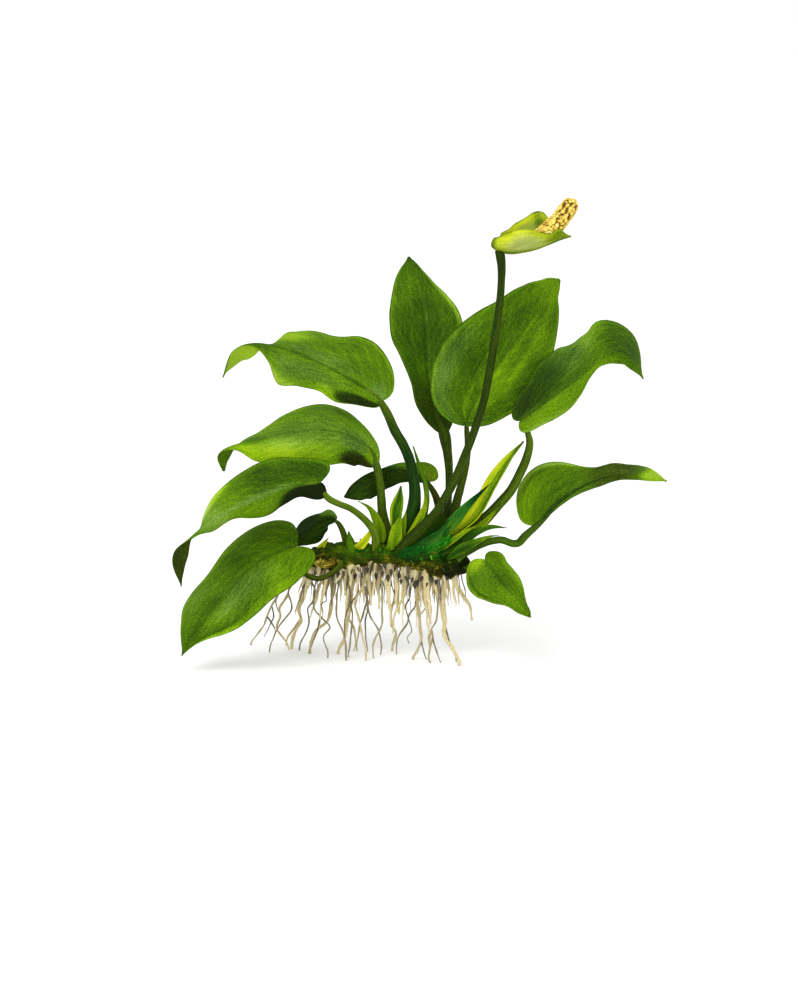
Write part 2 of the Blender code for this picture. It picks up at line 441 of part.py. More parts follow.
def make_tube(name, points, radii, sides_resolution=2):
    """A curve with a round bevel and filled caps, turned into a closed mesh."""
    curve = bpy.data.curves.new(name, "CURVE")
    curve.dimensions = "3D"
    curve.bevel_depth = MM
    curve.bevel_resolution = sides_resolution
    curve.use_fill_caps = True
    spline = curve.splines.new("POLY")
    spline.points.add(len(points) - 1)
    for target, point, radius in zip(spline.points, points, radii):
        target.co = (*to_metres(point), 1)
        target.radius = radius
    guide = bpy.data.objects.new(name + "_curve", curve)
    bpy.context.scene.collection.objects.link(guide)
    evaluated = guide.evaluated_get(bpy.context.evaluated_depsgraph_get())
    mesh = bpy.data.meshes.new_from_object(evaluated)
    mesh.name = name
    shape = bmesh.new()
    shape.from_mesh(mesh)
    bmesh.ops.remove_doubles(shape, verts=shape.verts, dist=0.00001)
    bmesh.ops.recalc_face_normals(shape, faces=shape.faces)
    shape.to_mesh(mesh)
    shape.free()
    piece = bpy.data.objects.new(name, mesh)
    piece.matrix_world = guide.matrix_world
    bpy.context.scene.collection.objects.link(piece)
    bpy.data.objects.remove(guide)
    return piece


def make_stem(name, route, radius, grow=0.0, sides_resolution=1):
    """A tapering stem along a smooth route."""
    length = np.linalg.norm(np.diff(np.asarray(route, float), axis=0), axis=1).sum()
    count = max(4, round(length / TUBE_STEP) + 1)
    points = even_path(route, count)
    radii = smooth(radius, np.linspace(0, 1, count)) + grow
    return make_tube(name, points, radii, sides_resolution)


def make_lump(name, route, radius, sides, rings, relief, grow=0.0):
    """A sphere drawn out along a route, its radius changed by relief(share, side number)."""
    bpy.ops.mesh.primitive_uv_sphere_add(segments=sides, ring_count=rings, radius=1)
    piece = bpy.context.object
    piece.name = name
    path = even_path(route, 200)
    tangent = unit(np.gradient(path, axis=0))
    for vertex in piece.data.vertices:
        share = 1 - math.acos(max(-1, min(1, vertex.co.z))) / math.pi
        spot = min(199, round(share * 199))
        ahead = tangent[spot]
        outward = unit(np.cross(ahead, (0, 1, 0)))
        across = np.cross(outward, ahead)
        level = math.hypot(vertex.co.x, vertex.co.y)
        centre = path[spot]
        if level < 0.001:
            vertex.co = to_metres(centre + ahead * grow * (1 if share > 0.5 else -1))
            continue
        side = round(math.atan2(vertex.co.y, vertex.co.x) / (2 * math.pi) * sides)
        size = float(smooth(radius, [share])[0]) * (1 + relief(share, side)) + grow
        direction = (outward * vertex.co.x + across * vertex.co.y) / level
        vertex.co = to_metres(centre + direction * size)
    shape = bmesh.new()
    shape.from_mesh(piece.data)
    bmesh.ops.recalc_face_normals(shape, faces=shape.faces)
    shape.to_mesh(piece.data)
    shape.free()
    return piece


def rhizome_relief(share, side):
    """Ring scars of old leaves."""
    return RHIZOME_SCAR_DEPTH * math.cos(2 * math.pi * RHIZOME_SCARS * share)


def spadix_relief(share, side):
    """Flowers set in a spiral of small knobs."""
    return 0.07 if (side + round(share * SPADIX_RINGS)) % 2 else -0.04


def root_route(row):
    """Points of a root from inside the rhizome to its foot, straight down at the end."""
    (start_x, start_y), foot_y, _, turns = row
    flat = [(start_x, ROOT_TOP)] + turns
    turning = [(x, foot_y + (start_y - foot_y) * z / ROOT_TOP, z) for x, z in flat]
    points = even_path(turning, ROOT_POINTS)
    points[-2, :2] = points[-1, :2]
    return points


def trim(piece, cutters, solver="EXACT"):
    """Cut a piece back from the grown copies of its neighbours."""
    for cutter in cutters:
        cut = piece.modifiers.new("clear_of_" + cutter.name, "BOOLEAN")
        cut.operation = "DIFFERENCE"
        cut.solver = solver
        cut.object = cutter


def young_shape(young):
    """A narrow blade's table in the form of a leaf's."""
    halves = {}
    for half in ("left", "right"):
        lift, bend = young[half]
        halves[half] = {"share": young.get(half + "_share", [1, 1]), "lift": [lift, lift],
                        "bend": [bend, bend]}
    return {"midrib": young["midrib"], "face": [young["face"]] * 2, "width": young["width"],
            **halves}


def main():
    for old in list(bpy.data.objects):
        bpy.data.objects.remove(old)
    parts = bpy.data.collections.new("anubias_plant")
    cutters = bpy.data.collections.new("cutters")
    for collection in (parts, cutters):
        bpy.context.scene.collection.children.link(collection)

    def keep(piece, look):
        link(piece, parts)
        finish(piece, look)
        return piece

    def as_cutter(piece):
        link(piece, cutters)
        piece.hide_render = True
        piece.display_type = "WIRE"
        return piece

    def rhizome(name, grow):
        return make_lump(name, RHIZOME, RHIZOME_RADIUS, RHIZOME_SIDES, RHIZOME_RINGS,
                         rhizome_relief, grow)

    keep(rhizome("rhizome", 0), RHIZOME_FINISH)
    rhizome_cutter = as_cutter(rhizome("rhizome_cutter", GAP))
    peduncle_cutter = as_cutter(make_stem("peduncle_cutter", PEDUNCLE, PEDUNCLE_RADIUS, GAP))

    for name, leaf in LEAVES.items():
        surface = blade_surface(leaf, LEAF_OUTLINE, BLADE_ROWS, BLADE_COLUMNS, lobes=True)
        keep(make_blade("leaf_" + name, surface, BLADE_THICKNESS), LEAF_FINISH)
        blade_base = widened(surface[:BASE_ROWS])
        blade_cutter = as_cutter(make_blade(name + "_cutter", blade_base,
                                            BLADE_THICKNESS + 2 * GAP))
        stalk = keep(make_stem("stalk_" + name, leaf["stalk"], leaf["stalk_radius"]), STALK_FINISH)
        trim(stalk, [rhizome_cutter])
        trim(stalk, [blade_cutter], "MANIFOLD" if name in TIGHT_FOLDS else "EXACT")

    for name, young in YOUNG.items():
        surface = blade_surface(young_shape(young), SPEAR_OUTLINE, YOUNG_ROWS, YOUNG_COLUMNS,
                                lobes=False)
        look = SHEATH_FINISH if name.startswith("sheath") else YOUNG_FINISH
        trim(keep(make_blade(name, surface, BLADE_THICKNESS), look), [rhizome_cutter],
             "MANIFOLD" if name in TIGHT_FOLDS else "EXACT")
    trim(keep(make_stem("thin_shoot", THIN_SHOOT, THIN_SHOOT_RADIUS), YOUNG_FINISH),
         [rhizome_cutter])
    trim(keep(make_stem("bud", BUD, BUD_RADIUS), YOUNG_FINISH), [rhizome_cutter])

    surface = blade_surface(SPATHE, BOAT_OUTLINE, BLADE_ROWS, BLADE_COLUMNS, lobes=False)
    keep(make_blade("spathe", surface, BLADE_THICKNESS), SPATHE_FINISH)
    spathe_cutter = as_cutter(make_blade("spathe_cutter", surface, BLADE_THICKNESS + 2 * GAP))
    spadix = keep(make_lump("spadix", SPADIX, SPADIX_RADIUS, SPADIX_SIDES, SPADIX_RINGS,
                            spadix_relief), SPADIX_FINISH)
    trim(spadix, [spathe_cutter])
    peduncle = keep(make_stem("peduncle", PEDUNCLE, PEDUNCLE_RADIUS), STALK_FINISH)
    trim(peduncle, [rhizome_cutter, spathe_cutter])
    trim(bpy.data.objects["sheath_front"], [peduncle_cutter])

    for number, row in enumerate(ROOTS, start=1):
        radii = row[2] * np.linspace(1.25, 0.8, ROOT_POINTS)
        root = keep(make_tube(f"root_{number:02d}", root_route(row), radii, 1), ROOT_FINISH)
        trim(root, [rhizome_cutter])


main()
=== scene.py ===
"""Looks of the bare-rooted anubias in flower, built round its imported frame.

Tables are in millimetres in the plant's own frame: X to the right, Y away from the front, Z up.
"""
import math

import bpy
import numpy as np
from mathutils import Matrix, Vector, noise


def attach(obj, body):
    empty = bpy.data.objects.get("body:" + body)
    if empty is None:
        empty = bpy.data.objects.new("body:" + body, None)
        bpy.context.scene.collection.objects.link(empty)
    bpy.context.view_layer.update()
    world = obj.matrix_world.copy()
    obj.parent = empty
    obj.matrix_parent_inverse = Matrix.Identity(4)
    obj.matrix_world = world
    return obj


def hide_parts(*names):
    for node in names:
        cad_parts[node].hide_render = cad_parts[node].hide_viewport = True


MM = 0.001
CENTRE = (1.4, 1.3)           # the tables' X and Y over the frame's origin

# Camera: what it looks at in the tables' frame, how far it is and how high it looks from.
# The picture is 798 wide and 1000 high.
AIM = (-7.6, 0, 65.4)
CAMERA_DISTANCE = 1200
CAMERA_ELEVATION = 10
VIEW_HEIGHT = 410             # height of the picture at the plant
SENSOR = 36                   # millimetres for the picture's long side

# How finely the pieces are made
LEAF_ROWS = 76
LEAF_HALF_COLUMNS = 24
YOUNG_ROWS = 40
YOUNG_HALF_COLUMNS = 9
STALK_SIDES = 28
STALK_STEP = 1.1
ROOT_SIDES = 9
ROOT_STEP = 0.9
PATH_STEPS = 600
BEND_STEPS = 16
FLOWER_SIDES = 8
FLOWER_RINGS = 5

# Half-width of a blade and the backward sweep of its veins in degrees, from stalk to tip
LEAF_OUTLINE = [0.38, 0.80, 0.97, 1.0, 0.98, 0.91, 0.79, 0.63, 0.42, 0.19, 0.012]
SPEAR_OUTLINE = [0.35, 0.70, 0.90, 1.0, 0.97, 0.85, 0.70, 0.52, 0.34, 0.17, 0.03]
BOAT_OUTLINE = [0.25, 0.70, 0.90, 1.0, 1.0, 0.95, 0.85, 0.70, 0.50, 0.25, 0.03]
BASE_OUTLINE = [0.9, 1.0, 1.0, 0.98, 0.92, 0.84, 0.72, 0.56, 0.36, 0.16, 0.03]
VEIN_SWEEP = [62, 22, 6, -3, -9, -14, -18, -22, -26, -30, -34]
VEINS = 13
BASE_ROUND = 0.05             # share of a blade's length over which its base is rounded
ROW_POWER = 1.25
WING_REACH = 0.35             # share of a stalk that its wings reach up
EVEN = [1, 1]


def half(share, lift, bend, **more):
    """One half of a leaf: share of the width, lift and bend in degrees, and its wave or sweep."""
    return {"share": share, "lift": lift, "bend": bend, **more}


def leaf_of(width, face, midrib, left, right, stalk=None, stalk_radius=None):
    """A leaf: its widest half-width, the direction its upper side faces, its midrib from stalk to
    tip, its halves, and its stalk from inside the rhizome to the base of the blade."""
    return {"width": width, "face": face, "midrib": midrib, "left": left, "right": right,
            "stalk": stalk, "stalk_radius": stalk_radius}


LEAVES = {
    "upper_left": leaf_of(19, [(0.1, -0.55, 0.8), (0, -0.45, 0.9), (-0.2, -0.3, 1), (-0.5, -0.3, 1),
        (-1, -0.6, 0.4)],
        [(-14.5, -3, 107), (-26.5, 0, 114.5), (-39, 6, 120.5), (-51, 12, 125), (-66, 19, 127.8),
         (-76.3, 23, 124), (-80.8, 25, 112.8)],
        half([0.6, 0.52, 0.6, 0.56, 0.73, 0.89, 0.46, 0.21, 0.15, 0.15, 0.3], [-5, -20, -30, -25, -10],
             [-90, -70, -40, 0, 0], wave=(1.2, 2.5, 0.2)),
        half([0.6, 0.8, 0.94, 1.03, 1.08, 1.1, 1.07, 0.93, 0.88, 0.96, 0.99, 0.97, 0.85, 0.45, 0.3, 0.6,
             0.95, 1.35, 1.9, 2.6, 2.6], [26, 25, 23, 21, 20, 18, 16, 14, 13, 10, 8, 5, 1, -30, -70, -78,
             -75, -70, -60, -45, -30], [0, 0, 0, -2, -6, -10, -11, -11, -10, -5, 0]),
        [(-7, 0.5, 43), (-5.6, -1, 51), (-3.2, -2, 57.4), (-1.6, -3, 63.9), (-1.2, -4, 70.3),
         (-1.9, -4, 76.5), (-3.3, -4, 82.7), (-5.9, -4, 88.9), (-9.4, -4, 95), (-12.5, -3.5, 102),
         (-14, -3, 107)], [3.1, 2.9, 2.5, 2.2, 2, 1.8]),
    "left": leaf_of(17, [(0.3, -0.7, 0.5), (0, -0.6, 0.8), (-0.1, -0.5, 1), (-0.3, -0.4, 1),
        (-1, -0.3, 0.4)],
        [(-16.5, 0, 80), (-20, 0, 87.5), (-28.5, -1, 92.5), (-39.5, -3, 95), (-51.5, -5, 94),
         (-63.5, -6, 91.5), (-76, -8, 89), (-81.2, -8, 84.8), (-79, -8, 78.6)],
        half([0.7, 0.77, 0.74, 0.86, 0.81, 0.88, 0.86, 0.86, 0.42, 0.15, 0.3], [-10, -15, -20, -20, -10],
             [-80, -60, -40, -20, -10]),
        half([0.25, 0.28, 0.31, 0.42, 0.59, 0.85, 1.06, 1.1, 1.05, 1.02, 0.98, 0.9, 0.8, 0.75, 0.7, 0.62,
             0.75, 1.1, 1.7, 3.2, 4], [10, 8, 6, 4, 2, 1, -1, -1, 0, 0, 0, -1, -2, -5, -8, -15, -40, -66,
             -74, -74, -66], [0, -4, -8, -11, -10, -10, -10, -11, -8, -4, 0], sweep=[60, 22, 6, -3, -9,
             -14, -18, -20, -14, -20, -46]),
        [(-12, 2.5, 42), (-12.5, 2.6, 46.5), (-13.3, 2.8, 52.3), (-14.4, 2, 58.6), (-14.8, 0.9, 64.9),
         (-15.3, 0.3, 71.3), (-16.3, 0, 79)], [2.5, 2.2, 1.9, 1.7, 1.6]),
    "middle_left": leaf_of(17.5, [(0.1, -0.6, 0.8), (0.05, -0.62, 0.8), (0, -0.62, 0.8),
        (-0.1, -0.65, 0.8), (-0.15, -0.65, 0.8), (-0.2, -0.65, 0.8), (-0.3, -0.6, 0.75),
        (-0.7, 0.05, 0.6), (-0.65, 0.7, 0.2), (-0.6, 0.8, 0.1), (-0.6, 0.8, 0)],
        [(-39, -21.5, 76.4), (-51.5, -26.6, 75), (-63, -31, 71.5), (-73, -34, 67.5), (-82, -37, 62.5),
         (-90.5, -39, 57), (-95, -40, 48.5), (-94.3, -40, 37.5)],
        half([1.2, 0.42, 0.5, 0.66, 0.57, 0.31, 0.26, 0.18, 0.57, 0.75, 0.8], [-20, -34, -38, -41, -44,
             -45, -40, -20, 0, 0, 0], [-40, -75, -90, -90, -90, -90, -60, -30, -10, 0, 0]),
        half([1.5, 0.92, 0.91, 0.9, 0.87, 0.76, 0.47, 0.15, 0.62, 0.85, 0.9], [15, 14, 11, 8, 4, 0, -2,
             -4, 0, 0, 0], [0, 0, 0, -2, -6, -10, -11, -11, -8, -4, 0]),
        [(-17.5, -1, 43), (-17.3, -3.8, 50.5), (-19.4, -7, 55.9), (-23.1, -9.5, 60.4),
         (-27.5, -12.5, 64.2), (-32.3, -16, 66.8), (-36.5, -19, 69.8), (-39.4, -21, 75)],
         [1.9, 1.5, 1.35, 1.3, 1.3]),
    "low_left": leaf_of(18.5, [(-0.2, -0.85, 0.5), (-0.2, -0.85, 0.5)],
        [(-49, -16, 48.9), (-53.5, -18, 48.3), (-60, -21, 46.1), (-65, -23, 43.5), (-70, -25.5, 39.9),
         (-75, -27.5, 34.7), (-80.2, -29.5, 28.9), (-85.4, -30.5, 22.2), (-90, -31, 15.5),
         (-95.1, -31, 7.2)],
        half([1.2, 0.92, 0.9, 0.88, 0.88, 0.9, 0.92, 0.85, 0.72, 0.65, 0.7], [0, 0, -5, -5, 0],
             [-10, -10, -10, -10, 0], sweep=[85, 26, 6, -3, -9, -14, -18, -22, -26, -30, -34]),
        half([1.5, 1.12, 0.96, 0.88, 0.8, 0.82, 1.02, 1.2, 1.22, 1.25, 1.2], [0, -5, -5, -5, 0],
             [-20, -20, -20, -20, 0], sweep=[30, 15, 6, -3, -9, -14, -18, -22, -26, -30, -34]),
        [(-29.5, -1.5, 41.5), (-32.8, -7.4, 38.2), (-37, -10, 35.7), (-41, -11.6, 34.9),
         (-45.5, -13.4, 37), (-48, -14.6, 41.5), (-48.5, -15.5, 48)], [1.3, 1.15, 1.1, 1.1]),
    "small_folded": leaf_of(8, [(0, -0.6, 0.8), (-0.3, -0.6, 0.8), (-0.8, -0.6, 0.6)],
        [(-34, 0, 57), (-38, -1, 57), (-43.5, -1, 54), (-49, 0, 50), (-53, 1, 45)],
        half([0.5, 0.37, 0.6, 0.7, 0.9, 1, 1, 1, 1, 1, 1], [-50, -50, -40], [-40, -40, -20]),
        half([0.7, 1.1, 0.72, 0.76, 0.84, 0.9, 0.88, 0.75, 0.7, 0.7, 0.7], [0, 0], [-20, 0, 0]),
        [(-28, 1.5, 42), (-29.3, 1.5, 47), (-30.8, 1.2, 52.3), (-32.8, 0.6, 55.9), (-34, 0.2, 56.3)],
         [1.7, 1.5, 1.3, 1.1]),
    "small_center": leaf_of(10, [(0.1, -0.5, 0.9), (-0.1, -0.3, 1), (-0.3, -0.3, 0.9)],
        [(4.6, 11, 71), (0.8, 11, 73.4), (-3, 10, 75.1), (-6.8, 9.5, 76.2), (-10.6, 9, 76.5),
         (-14.4, 8, 76.4), (-18.2, 7, 75.6), (-21.5, 6, 74.5), (-24.8, 5, 72.5), (-27.6, 4, 70),
         (-30.2, 3, 66.1)],
        half([0.3, 0.3, 0.4, 0.55, 0.75, 0.95, 1.25, 1.58, 1.95, 3.1, 5], [-30, -40, -40],
             [-30, -30, -20]),
        half([1.1, 1.1, 0.6, 0.5, 0.33, 0.15, 0.1, 0.1, 0.1, 0.2, 0.3], [20, 5, 0], [0, 0]),
        [(6, 4, 42), (8.3, 8, 52), (9.2, 9.5, 58), (8.1, 10, 63.7), (6.2, 10.5, 67.8), (4.6, 11, 70.4)],
         [1.9, 1.9, 1.8, 1.5]),
    "tall_back": leaf_of(18, [(0.1, -0.95, -0.1), (0.1, -0.95, -0.1)],
        [(11.5, 16, 90), (7.5, 19, 99.5), (4.5, 23, 112), (3.5, 28, 123.5), (3, 33, 135.5),
         (0.5, 39, 147), (-3.5, 45, 161)],
        half([0.32, 0.36, 0.42, 0.42, 0.62, 0.93, 1.1, 1.2, 1.42, 1.85, 2.2], [10, 10, 5, 0], [0, 0],
             sweep=[0, 0, 3, -3, -9, -14, -18, -22, -26, -30, -34]),
        half([0.5, 0.6, 0.64, 0.73, 0.87, 1, 1.1, 1.04, 1, 1.2, 1.8], [10, 10, 5, 0], [0, 0], sweep=[0, 0,
             3, -3, -9, -14, -18, -22, -26, -30, -34]),
        [(10.5, 1, 42), (11.3, 3.5, 51), (12.3, 6.5, 60), (13, 9, 68), (13.1, 12, 76), (12.3, 14.5, 84),
         (11.6, 16, 89.5)], [1.8, 1.6, 1.5, 1.5, 1.6, 1.9, 2.4]),
    "broad": leaf_of(20, [(-0.1, -0.95, 0.1), (-0.1, -0.95, 0.1)],
        [(19.5, 6, 95.5), (25, 7.5, 108), (32.5, 10, 119.5), (42, 14, 131.5), (50, 19, 142),
         (58.9, 26, 153.2)],
        half([0.3, 0.93, 1.1, 1.18, 1.14, 1.1, 1.07, 1.15, 1.32, 1.75, 3], [10, 5, 5, 0], [0, 0]),
        half([0.2, 0.6, 0.8, 0.95, 1, 1, 0.95, 0.93, 0.95, 0.95, 1.5], [0, -5, -5, 0], [0, 0]),
        [(15.5, 3.5, 42), (15.3, 3.5, 50), (15.3, 3.7, 57), (15.8, 4, 62.8), (17.5, 4.2, 69),
         (19.5, 4.7, 77.1), (20.6, 5.3, 86), (19.8, 6, 95)], [1.9, 1.8, 1.7, 1.5, 1.3]),
    "upper_right": leaf_of(17, [(-0.3, -0.7, 0.5), (-0.2, -0.6, 0.7), (0, -0.5, 0.8), (0.6, -0.4, 0.7),
        (1, -0.5, 0.2)],
        [(41.5, -6, 99), (46.5, -6.5, 102.6), (52.2, -7, 107), (58.2, -7, 111.2), (63.4, -7, 115),
         (68.3, -6.5, 119), (73, -6, 123.2), (78.1, -5, 126.3), (83.4, -4, 126.5), (87.7, -3, 123),
         (91.5, -3, 115.9)],
        half([0.65, 0.72, 0.84, 1.2, 1.34, 1.2, 1.23, 1.74, 1.95, 1.4, 1.2], [8, -2, -4, 0], [0, 0]),
        half([0.85, 0.5, 0.48, 0.46, 0.34, 0.18, 0.16, 0.46, 0.68, 1, 1], [-10, -20, -30, -10],
             [-30, -40, -20]),
        [(15, -2, 43), (21.5, -2.3, 52.8), (27.6, -2.8, 58.2), (33.7, -3.3, 64.7), (38.2, -3.8, 70.2),
         (41.8, -4.2, 77.3), (44.2, -4.6, 83), (45.6, -5, 89.5), (44.6, -5.2, 94.6), (42.2, -5.2, 97.8)],
         [2.6, 2.3, 2.1, 1.9, 1.7]),
    "arching_right": leaf_of(15, [(-0.6, -0.6, 0.4), (-0.3, -0.6, 0.7), (0, -0.4, 0.9), (0.2, -0.3, 1)],
        [(49, -14, 58), (55.5, -17, 65.5), (63.5, -20, 72.5), (71.5, -22, 77), (80.5, -23, 79.5),
         (90, -23, 79.5), (100, -22, 77)],
        half([1.25, 1.62, 1.82, 1.76, 1.62, 1.45, 1.24, 1, 0.79, 0.66, 0.6, 0.66, 0.76, 0.8, 0.85, 1.05,
             1.3, 1.65, 2, 2.1, 2], [0, 0], [0, 0]),
        half([0.3, 0.26, 0.28, 0.32, 0.4, 0.4, 0.33, 0.28, 0.38, 0.6, 0.7], [-80, -80, -60, -40],
             [-90, -90, -50]),
        [(12, -4.5, 40), (17.4, -6.5, 44.2), (22.2, -8.3, 47), (26.2, -9.8, 49), (30.3, -11, 50.4),
         (34.3, -11.5, 50.9), (38.4, -12, 49.6), (41.2, -12.5, 50), (44, -13.5, 53.3), (48.8, -14, 57.7)],
         [2, 1.7, 1.5, 1.5, 1.6]),
    "low_right": leaf_of(11.5, [(0.1, -0.9, 0.4), (0.1, -0.9, 0.4)],
        [(27.5, -14, 43), (32, -18, 38), (37.5, -22, 31.5), (42, -25, 26.5), (45.5, -27, 22)],
        half([0.9, 0.87, 0.65, 0.64, 0.66, 0.63, 0.57, 0.5, 0.5, 0.8, 1.2], [0, 0], [-20, -20, -10]),
        half([1.13, 1.09, 1.13, 1.08, 0.92, 0.79, 0.63, 0.61, 0.74, 0.9, 1.2], [0, 0], [-20, -20, -10]),
        [(20, -5, 38), (22.5, -9, 40), (24.5, -12, 41.5), (27, -13.8, 42.8)], [1.2, 1.1, 1]),
}

# Young leaves, bracts and sheaths, narrow blades that grow from the crown: midrib, face, half-width,
# lift and bend of the left half and, where they differ, of the right half, and both halves' shares
YOUNG = {
    "rolled_leaf": ([(12.5, -5, 47), (16.8, -6, 53.2), (22.7, -6.8, 58.3), (27.2, -7, 64.6),
        (31.2, -7, 72.5), (35, -6.5, 79), (39.1, -6, 85.5), (43, -5.5, 90.7)], (-0.4, -0.85, 0.3), 4.2,
        (10, 20), (20, 30), [0.5, 0.6, 0.75, 0.95, 1.05, 1.25, 1.5, 1.8, 2, 2, 1.6], [0.6, 0.5, 0.45,
        0.45, 0.45, 0.5, 0.6, 0.8, 0.9, 1, 1]),
    "spear_leaf": ([(9.5, -8.5, 48), (12.7, -9.3, 55.5), (16.5, -9.8, 60.5), (20.5, -9.8, 65),
        (25, -9.5, 69.5), (29.8, -9, 74)], (-0.3, -0.9, 0.3), 2.4, (10, 10), (-10, -10)),
    "bract_upper": ([(9.5, -8.5, 44.5), (14, -9.5, 48.3), (19.7, -10.3, 52), (25, -11, 55),
        (30.3, -11, 56.3), (36.4, -11, 55.8)], (-0.3, -0.8, 0.5), 2.6, (0, 0), (-20, -20)),
    "bract_lower": ([(12, -11, 43), (16.5, -13, 46.8), (20.9, -13.8, 49.2), (25.3, -14.3, 51.5),
        (29.4, -14.6, 53), (33, -14.8, 53.4)], (-0.3, -0.8, 0.5), 2.0, (0, 0), (-20, -20)),
    "upright_leaflet": ([(-9.4, -4, 45), (-9.4, -4.4, 55.8), (-8.8, -4, 62), (-7.6, -4, 67.3),
        (-6.8, -4, 71.9)], (0.1, -0.95, 0.1), 3.2, (20, 0), (20, 0), [0.5, 0.5, 0.5, 0.5, 0.6, 0.9, 1.3,
        1.65, 1.95, 2, 2.5], [0.5, 0.5, 0.5, 0.5, 0.6, 0.9, 1.3, 1.65, 1.95, 2, 2.5]),
    "sheath_front": ([(-5, -11.5, 43.5), (0, -12.8, 47), (5, -13.2, 50.7), (9.5, -12.8, 55),
        (12.7, -12.3, 59.5)], (-0.4, -0.8, 0.3), 4.0, (-10, -30)),
    "sheath_left": ([(-15, -0.8, 45), (-15.5, -1.6, 53), (-17.4, -2.6, 58.9), (-20.2, -3.6, 63.1),
        (-24.3, -4.6, 65.7)], (-0.2, -0.95, 0.1), 2.4, (-10, -20)),
}

# Old leaf bases and scales round the crown, in the same form
CROWN_BLADES = {
    "base_upright": ([(-9.6, -3, 44.5), (-9.2, -6.4, 49.6), (-8.4, -7, 55), (-6.4, -6.5, 61)],
        (0, -1, 0.1), 3.1, (5, 10)),
    "base_left": ([(-26, -2, 44.5), (-22.8, -4.6, 47.8), (-20.2, -5, 51.4), (-18.4, -5.5, 55.6)],
        (0, -1, 0.1), 1.9, (5, 10)),
    "base_low": ([(-40.6, -1, 44.5), (-38.4, -3.4, 47.8), (-36.4, -3.6, 50.5)], (0, -1, 0.2), 1.3,
        (5, 10)),
    "wing_upper_left": ([(-5.5, -6.5, 47.5), (-2, -7.5, 53), (1, -7.2, 59.2), (3, -6.4, 64.4),
        (2.8, -5.4, 70.5)], (0, -1, 0.1), 2.0, (5, 10)),
    "wing_upper_right": ([(17, -5.2, 46.5), (22.6, -5.6, 52.6), (28, -5.8, 57.8), (33.5, -6, 64.2)],
        (-0.1, -1, 0.1), 1.9, (5, 10)),
    "front_teal": ([(2, -8, 47.5), (5.6, -11.8, 51), (9.4, -12.8, 53.8), (14, -12.4, 57)],
        (-0.2, -1, 0.1), 2.2, (0, -10)),
    "between_bracts": ([(10, -10.4, 47.4), (15, -11.2, 51.2), (20, -11.6, 54.8), (25.5, -11.4, 57.4)],
        (-0.2, -1, 0.1), 1.1, (0, 0)),
    "sheath_upper_left": ([(-8.2, -3.6, 45), (-7.2, -5.2, 51), (-5.8, -5.2, 57), (-4.4, -5.2, 62.5)],
        (0, -1, 0.1), 2.2, (5, -10)),
    "gap_right": ([(-1, -5.6, 45), (4, -5.6, 51), (8.5, -5.6, 56.5), (12, -5.2, 62)], (0, -1, 0.1), 3.6,
        (0, -10)),
}

# The bloom: its stalk, the boat-shaped spathe and the knobbly spadix
PEDUNCLE = [(-7.6, -3.4, 44.2), (-3.6, -7.6, 49.8), (1, -9, 54.8), (5, -9, 58.9), (8.3, -9, 63),
            (10.7, -8.5, 67), (13, -8, 71), (15.2, -7.5, 75.2), (18.4, -7, 83.2), (21.7, -6, 91.2),
            (24.5, -5, 99.3), (26.9, -4.5, 107.4), (28.9, -4, 117.6), (30.5, -4, 127.8), (32, -4, 138),
            (33.2, -4, 148.1), (33.7, -4, 156.2), (33.7, -4, 162.2), (32.9, -4, 168)]
PEDUNCLE_RADIUS = [2.6, 2.3, 1.9, 1.75, 1.65, 1.65, 1.6, 1.6, 1.6, 1.6, 1.5, 2.0]
SPATHE = leaf_of(10, [(0.1, 0, 1), (0.1, 0, 1)],
    [(30.2, -4, 170.2), (32.6, -4, 168.3), (37.1, -4, 167.3), (41.9, -4, 167.7), (47.2, -4, 168.8),
     (53.2, -4, 171), (57.2, -4, 172.6), (61.6, -4, 173.9)],
    half([0.8, 1.05, 1.15, 1.27, 1.42, 1.62, 1.88, 2.16, 2.3, 1.3, 1], [45, 45], [25, 25, 25], sweep=[45,
         26, 9, -3, -8, -12, -15, -16, -8, 10, 0]),
    half([1.6, 1.43, 1.38, 1.32, 1.32, 1.33, 1.25, 1.02, 1.1, 2.3, 1], [5, 5], [100, 100, 90],
         sweep=[55, 14, 0, 0, 0, 0, 0, 0, 0, 0, 0]))
SPADIX = [(35.5, -4, 170.8), (41, -4.5, 173.2), (46.7, -5, 175), (51.6, -5, 176.8), (55.4, -4.6, 178.9),
          (58, -4.7, 181.8), (60.4, -5, 185), (62.8, -5, 187.8)]
SPADIX_RADIUS = [0.8, 0.8, 0.8, 0.8, 1.0, 2.2, 3.2, 3.5, 3.4, 3.3, 2.6]

# The creeping rhizome from its old left end to the crown on the right
RHIZOME = [(-45, 0.5, 41.2), (-34, 0.5, 41.8), (-23, 0, 42.6), (-12, 0, 42.9), (-3, -0.5, 42),
           (6, -1, 40), (15, -2, 39.2), (22, -3, 38.6)]
RHIZOME_RADIUS = [6.0, 5.9, 5.1, 4.6, 5.1, 6.2, 6.7, 4.6]
RHIZOME_SCARS = 9

# Mossy mound in front of the crown
MOUND = [(-8, -5, 44), (-3, -9.4, 44.6), (3, -11, 46.4), (9, -11.4, 49.4), (14, -11.2, 52.8)]
MOUND_RADIUS = [1.6, 2.9, 3.4, 3.0, 2.4, 1.4]

THIN_SHOOT = [(1.5, 1, 44), (1.6, -0.8, 50), (2.4, -2.8, 56.5), (3.3, -3.6, 62.2), (3.8, -2.4, 67.2),
              (3, 1.2, 72.5), (0.8, 3.6, 78.9), (-1.8, 3.6, 87.2)]
THIN_SHOOT_RADIUS = [1.3, 1.2, 1.2, 1.1, 0.9, 0.3]
BUD = [(-27.2, -2, 43), (-27.5, -2, 48), (-28.3, -2, 52.6)]
BUD_RADIUS = [2.4, 1.9, 0.4]

